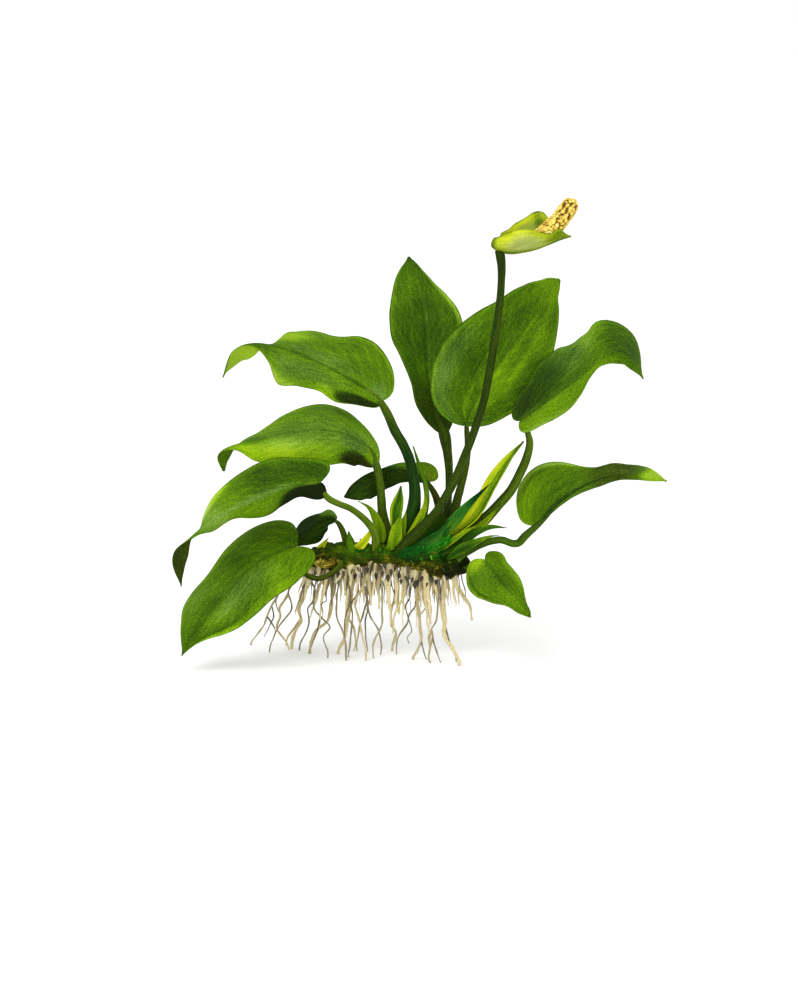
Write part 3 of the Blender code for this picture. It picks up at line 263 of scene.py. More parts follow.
# Each main root: X and Y where it leaves the rhizome, Y of its foot, its radius, how dark it is,
# and the X and Z of its turns on the way down
ROOTS = [
    ((-41.5, 3.5), 20, 0.45, 0.5, [(-46, 37), (-54, 29), (-61, 18), (-64.5, 9), (-69, 2.5), (-70, 0)]),
    ((-42, -1), 6, 0.36, 0.8, [(-46, 35.5), (-51, 30.5), (-53.6, 26.5), (-52.4, 22.5), (-52.7, 18),
     (-57.5, 11.5), (-60.5, 5), (-61.5, 0)]),
    ((-39.5, 2.5), 13, 0.81, 0.1, [(-43, 36), (-46.6, 32), (-46.6, 25), (-49.5, 18), (-48.5, 13),
     (-51.5, 6.5), (-52.5, 0)]),
    ((-38, -2), 10, 0.34, 0.9, [(-41.5, 35.5), (-43.7, 32), (-42.4, 27), (-43.4, 22), (-45.3, 18.6),
     (-45, 11), (-48.5, 4), (-49.2, 0)]),
    ((-35.5, 0), -4, 0.36, 0.8, [(-39, 36), (-42, 31), (-42.8, 21), (-39.5, 16.5), (-36.3, 12.8),
     (-38.6, 8.9), (-37, 3), (-37, 0)]),
    ((-34, 2.5), 4, 0.72, 0.2, [(-35.1, 34), (-35.1, 23), (-37, 14.5), (-42, 9.5), (-44.3, 3),
     (-44.7, 0)]),
    ((-31, -1.5), -9, 0.36, 0.8, [(-31.9, 34), (-33.5, 20), (-31, 12.5), (-29.3, 6), (-29.3, 0)]),
    ((-28.5, 2.5), 3, 0.77, 0.1, [(-29.9, 31), (-27.4, 23), (-29, 15), (-29.9, 8), (-32.5, 2),
     (-32.8, 0)]),
    ((-24.5, -1.5), -3, 0.34, 0.9, [(-24.2, 32), (-24.8, 26.4), (-27, 22.5), (-26.7, 17.3), (-27.4, 8.2),
     (-28.4, 2), (-28.6, 0)]),
    ((-21.5, 2), 8, 0.42, 0.6, [(-22.2, 31), (-21, 22), (-23.5, 13.4), (-25, 4), (-25.1, 0)]),
    ((-19, -3), -9, 0.5, 0.3, [(-22, 31), (-24.5, 26), (-25.4, 22.5), (-23.5, 14), (-21.6, 5.6),
     (-21.2, 0)]),
    ((-17, 1.5), 2, 0.36, 0.8, [(-19.5, 34), (-20.8, 28), (-20.3, 18.6), (-16.1, 10.2), (-14.9, 4.3),
     (-15.2, 0)]),
    ((-13.5, -2.5), -5, 0.42, 0.6, [(-14.5, 34), (-14.6, 22), (-14.9, 13.4), (-18.2, 6), (-18.1, 0)]),
    ((-8, 2), 9, 0.64, 0.3, [(-8.8, 33), (-8.1, 26), (-11, 18), (-10.3, 11), (-8.8, 8), (-10.2, 2.5),
     (-10.4, 0)]),
    ((4, 1.5), 3, 0.36, 0.8, [(3.1, 33), (0.2, 25.5), (-1.1, 20.6), (-3.6, 16.7), (-4.3, 12.8), (-8, 7),
     (-8.7, 0)]),
    ((0.5, -3), -7, 0.59, 0.4, [(0, 33), (-0.1, 25), (1.2, 13.4), (1.5, 7), (-1.5, 1.5), (-2, 0)]),
    ((8, -3.5), -13, 0.4, 0.7, [(8.8, 33), (8.4, 22.5), (7.6, 16.7), (5.6, 13.4), (6.3, 10.2), (4.4, 3),
     (5.2, 0)]),
    ((12.5, 1), -18, 0.77, 0.1, [(10.8, 32), (11.1, 18.6), (11.1, 11.5), (14.5, 6), (16.9, 2),
     (16.9, 0)]),
]
ROOT_TOP = 41                 # height inside the rhizome where the main roots start

# Fine rootlets that leave the rhizome: X and Y of the start, Y of the end, radius, how dark,
# and the X and Z of their turns
RHIZOME_ROOTLETS = [
    ((-37, -2), -3, 0.32, 0.9, [(-38.6, 32), (-37.6, 24), (-39.5, 22.8), (-38.9, 18.6), (-39.5, 16)]),
    ((-27, -3), -5, 0.34, 0.9, [(-28.3, 32), (-27.4, 25), (-29.3, 18.6), (-29.9, 13.4), (-29.6, 0.4)]),
    ((-3, 0), -2, 0.3, 0.9, [(-2.6, 33), (-3, 25), (-4.9, 21.2), (-3.6, 16), (-2.4, 10.8), (-4.3, 8.2),
     (-3.3, 5.6)]),
    ((9.5, -1), -3, 0.34, 0.9, [(9.2, 32), (9.8, 20)]),
    ((-4, -2), -6, 0.6, 0.1, [(-4.9, 33), (-5.5, 26.4), (-9.4, 18.6), (-10.1, 10.8)]),
    ((6, 0), 4, 0.55, 0.1, [(5.2, 33), (5, 27), (4, 20.6), (0.8, 16)]),
    ((15, -3), -8, 0.75, 0.1, [(15.6, 32.3), (18.8, 26.4), (21.4, 22.5), (22.3, 16.7)]),
]

# Rootlets that fork from a main root: its number, height of the fork, Y of the end, radius,
# how dark, and the X and Z of their turns
FORKED_ROOTLETS = [
    (2, 31, 10, 0.34, 0.8, [(-57.2, 25.4), (-58.8, 21), (-57.5, 16)]),
    (1, 19, 16, 0.32, 0.9, [(-60.1, 14), (-61, 10.8), (-64.2, 4.3)]),
    (1, 13, 14, 0.3, 0.9, [(-61.3, 11.5), (-59.4, 7.5), (-60.4, 4)]),
    (2, 25, 8, 0.5, 0.15, [(-56.8, 20), (-56.7, 15.8), (-58.3, 10.4), (-54.6, 4.5), (-53.4, 0.6)]),
    (12, 19, 5, 0.32, 0.9, [(-21.6, 12.1), (-20.6, 0.5)]),
    (16, 8, -9, 0.32, 0.9, [(2.6, 3.4), (3.7, 0.5)]),
    (17, 10, -15, 0.32, 0.8, [(6.6, 7.6), (8.5, 3), (9.5, 0.5)]),
    (18, 15, -14, 0.34, 0.8, [(12.7, 10), (13.7, 6.9), (15.5, 3.5), (15.8, 0.5)]),
    (17, 13, -9, 0.5, 0.1, [(4.7, 9.8), (5, 5), (4.4, 0.6)]),
    (5, 17, -8, 0.32, 0.9, [(-41, 13), (-42.4, 9), (-44.6, 3)]),
    (3, 14, 16, 0.45, 0.2, [(-50.5, 10), (-54, 5), (-55, 0.6)]),
    (8, 16, 6, 0.4, 0.2, [(-26.5, 11), (-25.6, 5), (-26.4, 0.6)]),
    (10, 27, 3, 0.45, 0.1, [(-19.6, 24), (-21, 18.6)]),
]

# Dark nubs in front of the short rootlets, root tips that also carry painted shadow in the gaps between
# the root tops: X and Z
ROOT_NUBS_AND_SHADOW = [(-35.1, 34.2), (-30.1, 35.9), (-26.9, 36.7), (-24.4, 37.6), (-22.8, 35.1), (-18.7, 38.6),
             (-17, 34.6), (-15, 38), (-13.4, 38.8), (-10.9, 36.3), (-12.1, 34), (-7.6, 34.8),
             (-6.8, 32.3), (-2.3, 33), (0.2, 31.9), (3.9, 31.2), (7.6, 32.5), (12.1, 34.2), (-32.6, 35.4),
             (-25.6, 34.6), (-20.6, 37.2), (-14.4, 35.6), (-9.2, 38.2), (-4.6, 33.6), (-1, 31),
             (5.8, 33.4), (1.8, 33.6)]

SHORT_ROOTS = 130             # short rootlets under the rhizome
MOSS_SCALES = 170             # small mossy scales on the old stem and the crown
FLOWERS = 280                 # small flowers on the spadix
CAP_START = 0.92              # share of the spadix where its rounded end starts
FLOOR_REACH = 60              # metres
WORLD_LIGHT = 1.12
# Lights: name, place in metres, size in metres and power in watts
LIGHTS = [("key", (-0.9, -1.1, 1.6), 1.2, 16), ("fill", (1.3, -1.4, 0.9), 1.4, 5)]

# Colours of the plant's skins from dark to light: place and screen colour
LEAF_STOPS = [(0.0, 14, 30, 2), (0.2, 34, 58, 2), (0.4, 56, 88, 3), (0.55, 78, 114, 4),
              (0.7, 98, 136, 6), (0.85, 124, 161, 6), (1.0, 144, 180, 8)]
# COOL_STOPS: grey-green for the grey-green spots on the leaf blades, which are painted sheen.
COOL_STOPS = [(0.0, 14, 34, 8), (0.4, 52, 84, 22), (0.6, 84, 116, 42), (0.8, 118, 146, 72),
              (1.0, 150, 172, 110)]
OLIVE_STOPS = [(0.0, 22, 24, 3), (0.3, 48, 52, 8), (0.6, 88, 90, 20), (1.0, 150, 146, 70)]
STALK_STOPS = [(0.0, 12, 24, 4), (0.3, 34, 52, 5), (0.55, 64, 90, 10), (0.8, 104, 134, 24),
               (1.0, 150, 172, 64)]
YOUNG_STOPS = [(0.0, 14, 36, 4), (0.3, 40, 78, 4), (0.55, 84, 124, 6), (0.8, 148, 170, 14),
               (1.0, 204, 206, 26)]
TEAL_STOPS = [(0.0, 4, 28, 8), (0.25, 8, 58, 16), (0.5, 18, 88, 24), (0.75, 50, 128, 34),
              (1.0, 120, 176, 90)]
SPATHE_STOPS = [(0.0, 42, 62, 4), (0.3, 86, 110, 8), (0.55, 132, 150, 18), (0.8, 170, 184, 20),
                (1.0, 192, 200, 34)]
GREY_STOPS = [(0.0, 56, 76, 24), (0.5, 134, 148, 80), (1.0, 192, 198, 140)]

# How each blade is painted: its middle tone, its underside, and soft spots of tone, each with its
# place along and across the blade, its half length and half width, change of tone, change to
# olive (or to grey-green below zero) and sharpness. Some spots are painted light: the sharp dark
# spots near the base of a drooping near half are painted shade, and the grey-green spots on the
# leaf blades are painted sheen. The lighter margin is partly the blade's yellower edge and partly
# painted rim light, and a petiole's side is how much lighter its lit side is painted.
SHADES = {
    # This leaf's very light underside, seen at its turned tip, is painted light showing through the
    # blade.
    "upper_left": dict(tone=0.53, under_tone=0.98, under_warm=-0.1, rib_tone=-0.25,
        petiole=dict(tone=0.14, warm=-0.4, side=0.09, foot=0.22, top=(0.44, 0.9)),
        spots=[(0.22, -0.4, 0.12, 0.28, -0.1, 0, 4), (0.56, -0.66, 0.08, 0.26, 0.26, 0, 5),
               (0.38, -0.18, 0.17, 0.15, -0.03, -0.6, 5), (0.42, 0.45, 0.16, 0.25, -0.04, -0.6, 4),
               (0.5, 0.92, 0.08, 0.14, 0.22, -0.2, 5), (0.27, 0.84, 0.06, 0.22, 0.22, 0, 8),
               # The sharp dark spot at 0.12 along is painted shade on the drooping near half by the base.
               (0.12, 0.72, 0.1, 0.26, -0.46, 0.3, 12), (0.1, 0.98, 0.12, 0.06, 0.16, 0.5, 8),
               (0.04, -0.3, 0.05, 0.35, 0.1, -0.8, 5), (0.7, 0.1, 0.09, 0.6, -0.16, 0, 5)]),
    "left": dict(tone=0.58, under_tone=0.46, under_warm=0.1, petiole=dict(tone=0.40, warm=0.1, side=0.16),
        spots=[(0.64, 0.55, 0.16, 0.4, 0.3, 0, 5), (0.4, 0.62, 0.14, 0.35, 0.12, 0, 4),
               (0.44, 0, 0.2, 0.42, -0.09, -0.5, 4), (0.18, 0.12, 0.07, 0.36, -0.12, -0.7, 5),
               # The sharp dark spot at 0.12 along is painted shade on the drooping near half by the base.
               (0.12, 0.74, 0.11, 0.32, -0.46, 0.7, 12), (0.1, -0.6, 0.12, 0.4, 0.06, -0.2, 4),
               (0.74, -0.25, 0.09, 0.45, -0.13, 0, 5), (0.3, -0.8, 0.15, 0.12, -0.05, 0, 4)]),
    "middle_left": dict(tone=0.46, under_tone=0.26, under_warm=0.6, rib_tone=0.0,
        petiole=dict(tone=0.54, warm=0.1, side=0.12, wing=0.3),
        spots=[(0.17, -0.55, 0.2, 0.36, -0.22, 0, 4), (0.42, -0.55, 0.1, 0.3, 0.12, 0, 4),
               (0.33, -0.07, 0.2, 0.09, 0.08, -0.8, 5), (0.52, -0.95, 0.09, 0.16, 0.46, -0.1, 6),
               # The sharp dark spots at 0.07 and 0.25 along are painted shade on the drooping near half
               # by the base.
               (0.4, 0.5, 0.14, 0.5, 0.09, 0, 4), (0.07, 0.65, 0.17, 0.62, -0.6, 0.4, 13),
               (0.25, 0.95, 0.12, 0.14, -0.34, 0.1, 8), (0.6, 0, 0.09, 1.2, 0.2, -0.5, 6)]),
    "low_left": dict(tone=0.45, under_tone=0.45, under_warm=0.2,
        petiole=dict(tone=0.26, warm=0.5, side=0.20, wing=0.3),
        spots=[(0.18, -0.5, 0.26, 0.5, -0.08, 0, 4), (0.1, 0.55, 0.17, 0.55, 0.13, 0, 4),
               (0.44, 0.28, 0.18, 0.22, 0.06, -0.6, 4), (0.6, 0.34, 0.12, 0.2, 0.13, -0.1, 4),
               (0.62, -0.72, 0.11, 0.28, 0.08, -0.4, 4), (0.74, -0.12, 0.18, 0.16, -0.11, 0, 5),
               (0.72, 0.94, 0.16, 0.12, 0.22, 0, 7), (0.7, 0.78, 0.16, 0.06, -0.18, 0, 7),
               (0.33, 0.86, 0.16, 0.1, 0.13, 0, 6)]),
    "small_folded": dict(tone=0.13, under_tone=0.30, under_warm=0.1, margin=0.05,
        spots=[(0.12, -0.8, 0.11, 0.42, 0.46, -0.2, 6), (0.45, 0.2, 0.2, 0.4, 0.06, 0, 4)]),
    "small_center": dict(tone=0.13, under_tone=0.40, under_warm=0.0, margin=0.04,
        petiole=dict(tone=0.34, warm=0.9, side=0.08),
        spots=[(0.06, -0.75, 0.34, 0.66, 0.42, 0, 8), (0.75, 0.4, 0.2, 0.5, 0.09, 0, 4),
               (0.02, -0.2, 0.08, 0.6, 0.1, 0.3, 5)]),
    "tall_back": dict(tone=0.36, under_tone=0.5, under_warm=0.0, margin=0.16,
        petiole=dict(tone=0.32, warm=0.2, side=0.10),
        spots=[(0.55, 0.1, 0.16, 0.5, -0.09, 0, 4), (0.9, 0.1, 0.1, 0.6, 0.07, 0, 4),
               (0.1, 0.2, 0.18, 1.2, -0.15, 0.3, 7), (0.35, 0.22, 0.06, 0.24, 0.14, 0, 4),
               (0.68, -0.7, 0.14, 0.25, 0.09, 0, 4), (0.66, -0.97, 0.22, 0.1, 0.34, -0.2, 6),
               (0.7, 0.95, 0.25, 0.1, 0.1, 0, 5), (0.62, -0.08, 0.3, 0.04, 0.07, 0, 5),
               (0.6, 0.35, 0.25, 0.05, 0.05, 0, 5)]),
    "broad": dict(tone=0.45, under_tone=0.5, under_warm=0.0, margin=0.20,
        petiole=dict(tone=0.32, warm=0.3, side=0.14),
        spots=[(0.22, 0.76, 0.17, 0.17, 0.05, -0.8, 4), (0.32, 0.35, 0.24, 0.2, -0.08, 0, 4),
               (0.2, -0.2, 0.16, 0.2, 0.12, 0, 4), (0.5, -0.1, 0.22, 0.06, 0.12, 0, 4),
               (0.48, -0.42, 0.22, 0.07, 0.13, 0, 4), (0.42, -0.68, 0.12, 0.14, -0.09, 0, 4),
               (0.92, 0, 0.11, 1.2, 0.17, 0, 5), (0.68, 0.28, 0.16, 0.16, -0.06, 0, 4),
               (0.72, -0.55, 0.18, 0.12, 0.08, 0, 4), (0.12, 0.2, 0.1, 0.06, 0.14, 0, 5)]),
    "upper_right": dict(tone=0.45, under_tone=0.5, under_warm=0.0,
        petiole=dict(tone=0.38, warm=0.1, side=0.20),
        spots=[(0.17, 0.6, 0.2, 0.55, -0.31, 0.1, 5), (0.42, 0.66, 0.15, 0.36, 0.06, -0.8, 4),
               (0.25, -0.5, 0.27, 0.55, 0.19, 0, 6), (0.6, 0.8, 0.08, 0.26, 0.18, -0.1, 4),
               (0.77, 0.42, 0.11, 0.5, -0.15, 0, 4), (0.12, -0.9, 0.16, 0.14, 0.1, -0.3, 5),
               (0.62, -0.6, 0.08, 0.6, 0.16, 0, 4), (0.4, 0.12, 0.18, 0.1, -0.08, 0, 5)]),
    "arching_right": dict(tone=0.43, under_tone=0.45, under_warm=0.2,
        petiole=dict(tone=0.36, warm=-0.1, side=0.12),
        spots=[(0.07, 0.75, 0.13, 0.34, 0.26, 0, 5), (0.3, 0.02, 0.26, 0.07, -0.22, -0.3, 7),
               (0.62, 0.4, 0.15, 1.2, -0.14, 0.5, 6), (0.93, 0, 0.11, 2, 0.5, -0.1, 9),
               (0.27, 0.97, 0.14, 0.08, 0.26, -0.4, 6), (0.25, 0.42, 0.18, 0.3, -0.05, 0, 4)]),
    "low_right": dict(tone=0.49, under_tone=0.45, under_warm=0.1,
        spots=[(0.34, 0.1, 0.2, 0.34, -0.12, 0, 4), (0.02, -0.65, 0.09, 0.4, 0.38, 0.1, 6),
               (0.34, 0.85, 0.22, 0.18, 0.16, -0.1, 5), (0.65, -0.2, 0.2, 0.4, 0.08, 0, 4),
               (0.3, -0.86, 0.26, 0.06, -0.14, 0, 7)]),
    "rolled_leaf": dict(tone=0.60, under_tone=0.5, under_warm=0.0, margin=0.0, outline=0.12,
        spots=[(0.6, 0.8, 0.5, 0.34, 0.3, 0, 6), (0.55, -0.4, 0.55, 0.22, -0.34, 0, 6),
               (0.45, -0.92, 0.5, 0.22, 0.26, 0, 6), (0.14, 0, 0.22, 1.4, 0.16, 0, 5),
               (0.96, 0, 0.08, 1.4, -0.3, 0, 5)]),
    "spear_leaf": dict(tone=0.52, warm=-0.8, margin=0.06, outline=0.10, under_warm=0.0,
        spots=[(0.9, 0, 0.25, 1.4, -0.32, -0.2, 6), (0.15, -0.3, 0.2, 0.8, 0.16, 0.3, 5)]),
    "bract_upper": dict(tone=0.32, margin=0.34, outline=0.05,
        spots=[(0.3, 0, 0.24, 1.2, -0.1, 0, 4), (0.62, 0.55, 0.2, 0.5, 0.12, 0, 4)]),
    "bract_lower": dict(tone=0.34, margin=0.30, outline=0.05,
        spots=[(0.85, 0, 0.3, 1.4, 0.26, 0, 5), (0.3, -0.3, 0.3, 0.5, -0.12, 0, 4)]),
    "upright_leaflet": dict(tone=0.36, margin=0.0, outline=0.0,
        spots=[(0.45, 0.84, 0.55, 0.26, 0.32, 0, 6), (0.05, 0, 0.24, 1.4, 0.32, 0, 5),
               (0.5, -0.9, 0.5, 0.18, 0.2, 0, 6)]),
    "sheath_front": dict(tone=0.34, warm=-0.7, margin=0.10, outline=0.05,
        spots=[(0.45, -0.6, 0.3, 0.5, 0.12, 0.1, 5), (0.6, 0.5, 0.25, 0.35, -0.1, 0, 5),
               (0, 0, 0.3, 1.4, -0.24, 0, 6)]),
    "sheath_left": dict(tone=0.60, margin=0.12, outline=0.10),
    "base_upright": dict(tone=0.60, outline=0.10),
    "base_left": dict(tone=0.86, outline=0.20),
    # Its very pale lime tone is a painted highlight on top of the old stem's left end.
    "base_low": dict(tone=0.90, outline=0.30),
    "wing_upper_left": dict(tone=0.62, outline=0.10,
        spots=[(0.35, 0.4, 0.3, 0.3, 0.2, 0, 5)]),
    "wing_upper_right": dict(tone=0.66, outline=0.20),
    "front_teal": dict(tone=0.36, warm=-1.0, outline=0.0),
    "between_bracts": dict(tone=0.72, outline=0.25),
    "sheath_upper_left": dict(tone=0.62, margin=0.10, outline=0.0),
    "gap_right": dict(tone=0.26, margin=0.12, outline=0.0,
        spots=[(0.35, 0, 0.2, 0.5, 0.12, -0.6, 4)]),
    "spathe": dict(tone=0.58, under_tone=0.58, under_warm=0.0, through=1.0, outline=0.36,
        # Painted shade: the long dark stripe at 0.5 along beside the midrib lies along the spathe's fold,
        # and the thin dark line at 0.64 along, across the left half, lies along the fold of its tip.
        spots=[(0.15, -0.6, 0.1, 0.26, 0.24, 0.1, 5), (0.3, -0.86, 0.2, 0.12, 0.24, 0, 6),
               (0.42, -0.48, 0.26, 0.28, 0.02, -0.65, 4), (0.2, -0.2, 0.12, 0.16, -0.18, 0, 5),
               (0.86, -0.5, 0.15, 0.9, -0.3, 0.1, 5), (0, 0, 0.05, 1.2, -0.34, 0.3, 5),
               (0.5, -0.12, 0.46, 0.1, -0.22, 0, 6), (0.12, -0.94, 0.12, 0.1, -0.26, 0.2, 6),
               (0.4, 0.45, 0.2, 0.3, 0, -0.65, 4), (0.3, 0.92, 0.3, 0.1, 0.12, 0.1, 6),
               (0.64, 0.7, 0.05, 0.4, -0.24, 0, 7), (0.52, 0.94, 0.14, 0.12, 0.2, 0, 6)]),
}


def unit(vectors):
    """Vectors of length one."""
    vectors = np.asarray(vectors, float)
    return vectors / np.linalg.norm(vectors, axis=-1, keepdims=True)


def smooth(values, where):
    """Read a smooth curve through evenly spaced numbers or points, at places from 0 to 1."""
    values = np.asarray(values, float)
    last = len(values) - 1
    place = np.clip(np.asarray(where, float), 0, 1) * last
    first = np.clip(np.floor(place).astype(int), 0, last - 1)
    part = place - first
    if values.ndim > 1:
        part = part[:, None]
    start = values[first]
    end = values[first + 1]
    slope_start = (end - values[np.maximum(first - 1, 0)]) / 2
    slope_end = (values[np.minimum(first + 2, last)] - start) / 2
    return ((2 * part**3 - 3 * part**2 + 1) * start + (part**3 - 2 * part**2 + part) * slope_start
            + (3 * part**2 - 2 * part**3) * end + (part**3 - part**2) * slope_end)


def path_at(points, shares):
    """Points at shares of the length of the smooth curve through the given points."""
    fine = smooth(points, np.linspace(0, 1, PATH_STEPS))
    lengths = np.concatenate([[0], np.cumsum(np.linalg.norm(np.diff(fine, axis=0), axis=1))])
    wanted = np.asarray(shares) * lengths[-1]
    return np.stack([np.interp(wanted, lengths, fine[:, axis]) for axis in range(3)], axis=1)


def even_path(points, count):
    return path_at(points, np.linspace(0, 1, count))


def path_length(points):
    return float(np.linalg.norm(np.diff(np.asarray(points, float), axis=0), axis=1).sum())


def turns_round(sides):
    return np.linspace(0, 2 * math.pi, sides, endpoint=False)


def rough(places, seed, scale=1.0):
    """Smooth random numbers from about -1 to 1 at places, with features of size 1 / scale."""
    shift = Vector((seed * 13.7, seed * 7.1, seed * 3.3))
    return np.array([noise.noise(Vector(place) * scale + shift) for place in places])


def lumps(points, size, seed):
    """Smooth random numbers over a grid of points, with features of the given size."""
    return rough((points / size).reshape(-1, 3), seed).reshape(points.shape[:2])


def spot(distance, sharpness):
    """1 inside a distance of 1 and 0 outside it, with a soft edge."""
    return 1 / (1 + np.exp(np.clip((distance - 1) * sharpness, -50, 50)))


def grid_faces(rows, columns, start=0, closed=False, flip=False):
    """Quads of a grid of points numbered row by row."""
    wide = columns if closed else columns - 1
    row, column = np.meshgrid(np.arange(rows - 1), np.arange(wide), indexing="ij")
    here = start + row * columns + column
    beside = start + row * columns + (column + 1) % columns
    quads = np.stack([here, beside, beside + columns, here + columns], axis=-1).reshape(-1, 4)
    return (quads[:, ::-1] if flip else quads).tolist()


def tube_faces(rings, sides, low, high, start=0, flip=False):
    """Faces of a closed tube, with a fan to the points low and high at its ends."""
    faces = grid_faces(rings, sides, start, closed=True, flip=flip)
    last = start + (rings - 1) * sides
    for side in range(sides):
        pair = (side, (side + 1) % sides)
        first, second = pair if flip else pair[::-1]
        faces.append([low, start + first, start + second])
        faces.append([high, last + second, last + first])
    return faces


def over_tube(value, share, angle):
    """A number or a function of share and angle, at each point of a tube and at its two ends."""
    value = value(share, angle) if callable(value) else value
    value = np.broadcast_to(value, (share.size, angle.size)).ravel()
    return np.append(value, [value[0], value[-1]])


def make_part(points, faces, tone, warm=0.0, grain=None, vein=0.0):
    """Points and faces, with what the materials read at each point:
    tone is dark to light, warm is bluish to olive, grain is where streaks run, vein counts veins."""
    count = len(points)
    return {"points": np.asarray(points, float), "faces": faces,
            "tone": np.broadcast_to(tone, count).astype(float),
            "warm": np.broadcast_to(warm, count).astype(float),
            "grain": np.asarray(points if grain is None else grain, float),
            "vein": np.broadcast_to(vein, count).astype(float)}


def join_parts(parts):
    """Several parts as one."""
    faces = []
    start = 0
    for part in parts:
        faces += [[corner + start for corner in face] for face in part["faces"]]
        start += len(part["points"])
    joined = {key: np.concatenate([part[key] for part in parts])
              for key in ("points", "tone", "warm", "grain", "vein")}
    return {**joined, "faces": faces}


def add_piece(name, part, material, slot, *replaced):
    """Turn a part into an object that rides on the plant and stands for the named nodes."""
    mesh = bpy.data.meshes.new(name)
    points = (part["points"] - (*CENTRE, 0)) * MM
    mesh.from_pydata(points.tolist(), [], part["faces"])
    for key, kind, field in (("tone", "FLOAT", "value"), ("warm", "FLOAT", "value"),
                             ("vein", "FLOAT", "value"), ("grain", "FLOAT_VECTOR", "vector")):
        layer = mesh.attributes.new(key, kind, "POINT")
        layer.data.foreach_set(field, part[key].astype(np.float32).ravel())
    mesh.validate()
    mesh.shade_smooth()
    mesh.materials.append(material)
    piece = bpy.data.objects.new(name, mesh)
    bpy.context.scene.collection.objects.link(piece)
    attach(piece, "root")
    if replaced:
        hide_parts(*replaced)


def row_shares(rows):
    """Shares of a blade's length for its rows, closer together near its base."""
    return np.linspace(0, 1, rows)**ROW_POWER


def blade_surface(leaf, outline, rows, across, lobes):
    """Middle surface of a blade: rows from stalk to tip, columns from right margin to left."""
    along = row_shares(rows)
    midrib = path_at(leaf["midrib"], along)
    tangent = unit(np.gradient(midrib, axis=0))
    face = smooth(unit(leaf["face"]), along)
    face = unit(face - np.sum(face * tangent, axis=1, keepdims=True) * tangent)
    side = np.cross(face, tangent)
    width = smooth(outline, along) * leaf["width"]
    if lobes:
        width = width * np.sqrt(np.clip(1 - (1 - along / BASE_ROUND)**2, 0.01, 1)
                                * (along < BASE_ROUND) + (along >= BASE_ROUND))
    usual = VEIN_SWEEP if lobes else np.minimum(VEIN_SWEEP, 0)
    surface = np.zeros((rows, len(across), 3))
    for column, place in enumerate(across):
        shape = leaf["left"] if place > 0 else leaf["right"]
        sweep = np.radians(smooth(shape.get("sweep", usual), along))
        reach = abs(place) * width * smooth(shape["share"], along)
        lift = np.radians(smooth(shape["lift"], along))
        bend = np.radians(smooth(shape["bend"], along))
        steps = abs(place) * (np.arange(BEND_STEPS) + 0.5) / BEND_STEPS
        angles = lift[:, None] + bend[:, None] * steps
        outward = (np.sign(place) * side * np.cos(sweep)[:, None]
                   - tangent * np.sin(sweep)[:, None])
        height, waves, phase = shape.get("wave", (0, 0, 0))
        ripple = height * place**2 * np.sin(2 * math.pi * (waves * along + phase))
        rise = reach * np.sin(angles).mean(axis=1) + ripple * np.sin(math.pi * along)
        surface[:, column] = (midrib + outward * (reach * np.cos(angles).mean(axis=1))[:, None]
                              + face * rise[:, None])
    return surface


def surface_normals(surface):
    """Directions out of the upper side of a grid of points."""
    normals = np.cross(np.gradient(surface, axis=0), np.gradient(surface, axis=1))
    return normals / np.maximum(np.linalg.norm(normals, axis=-1, keepdims=True), 1e-9)


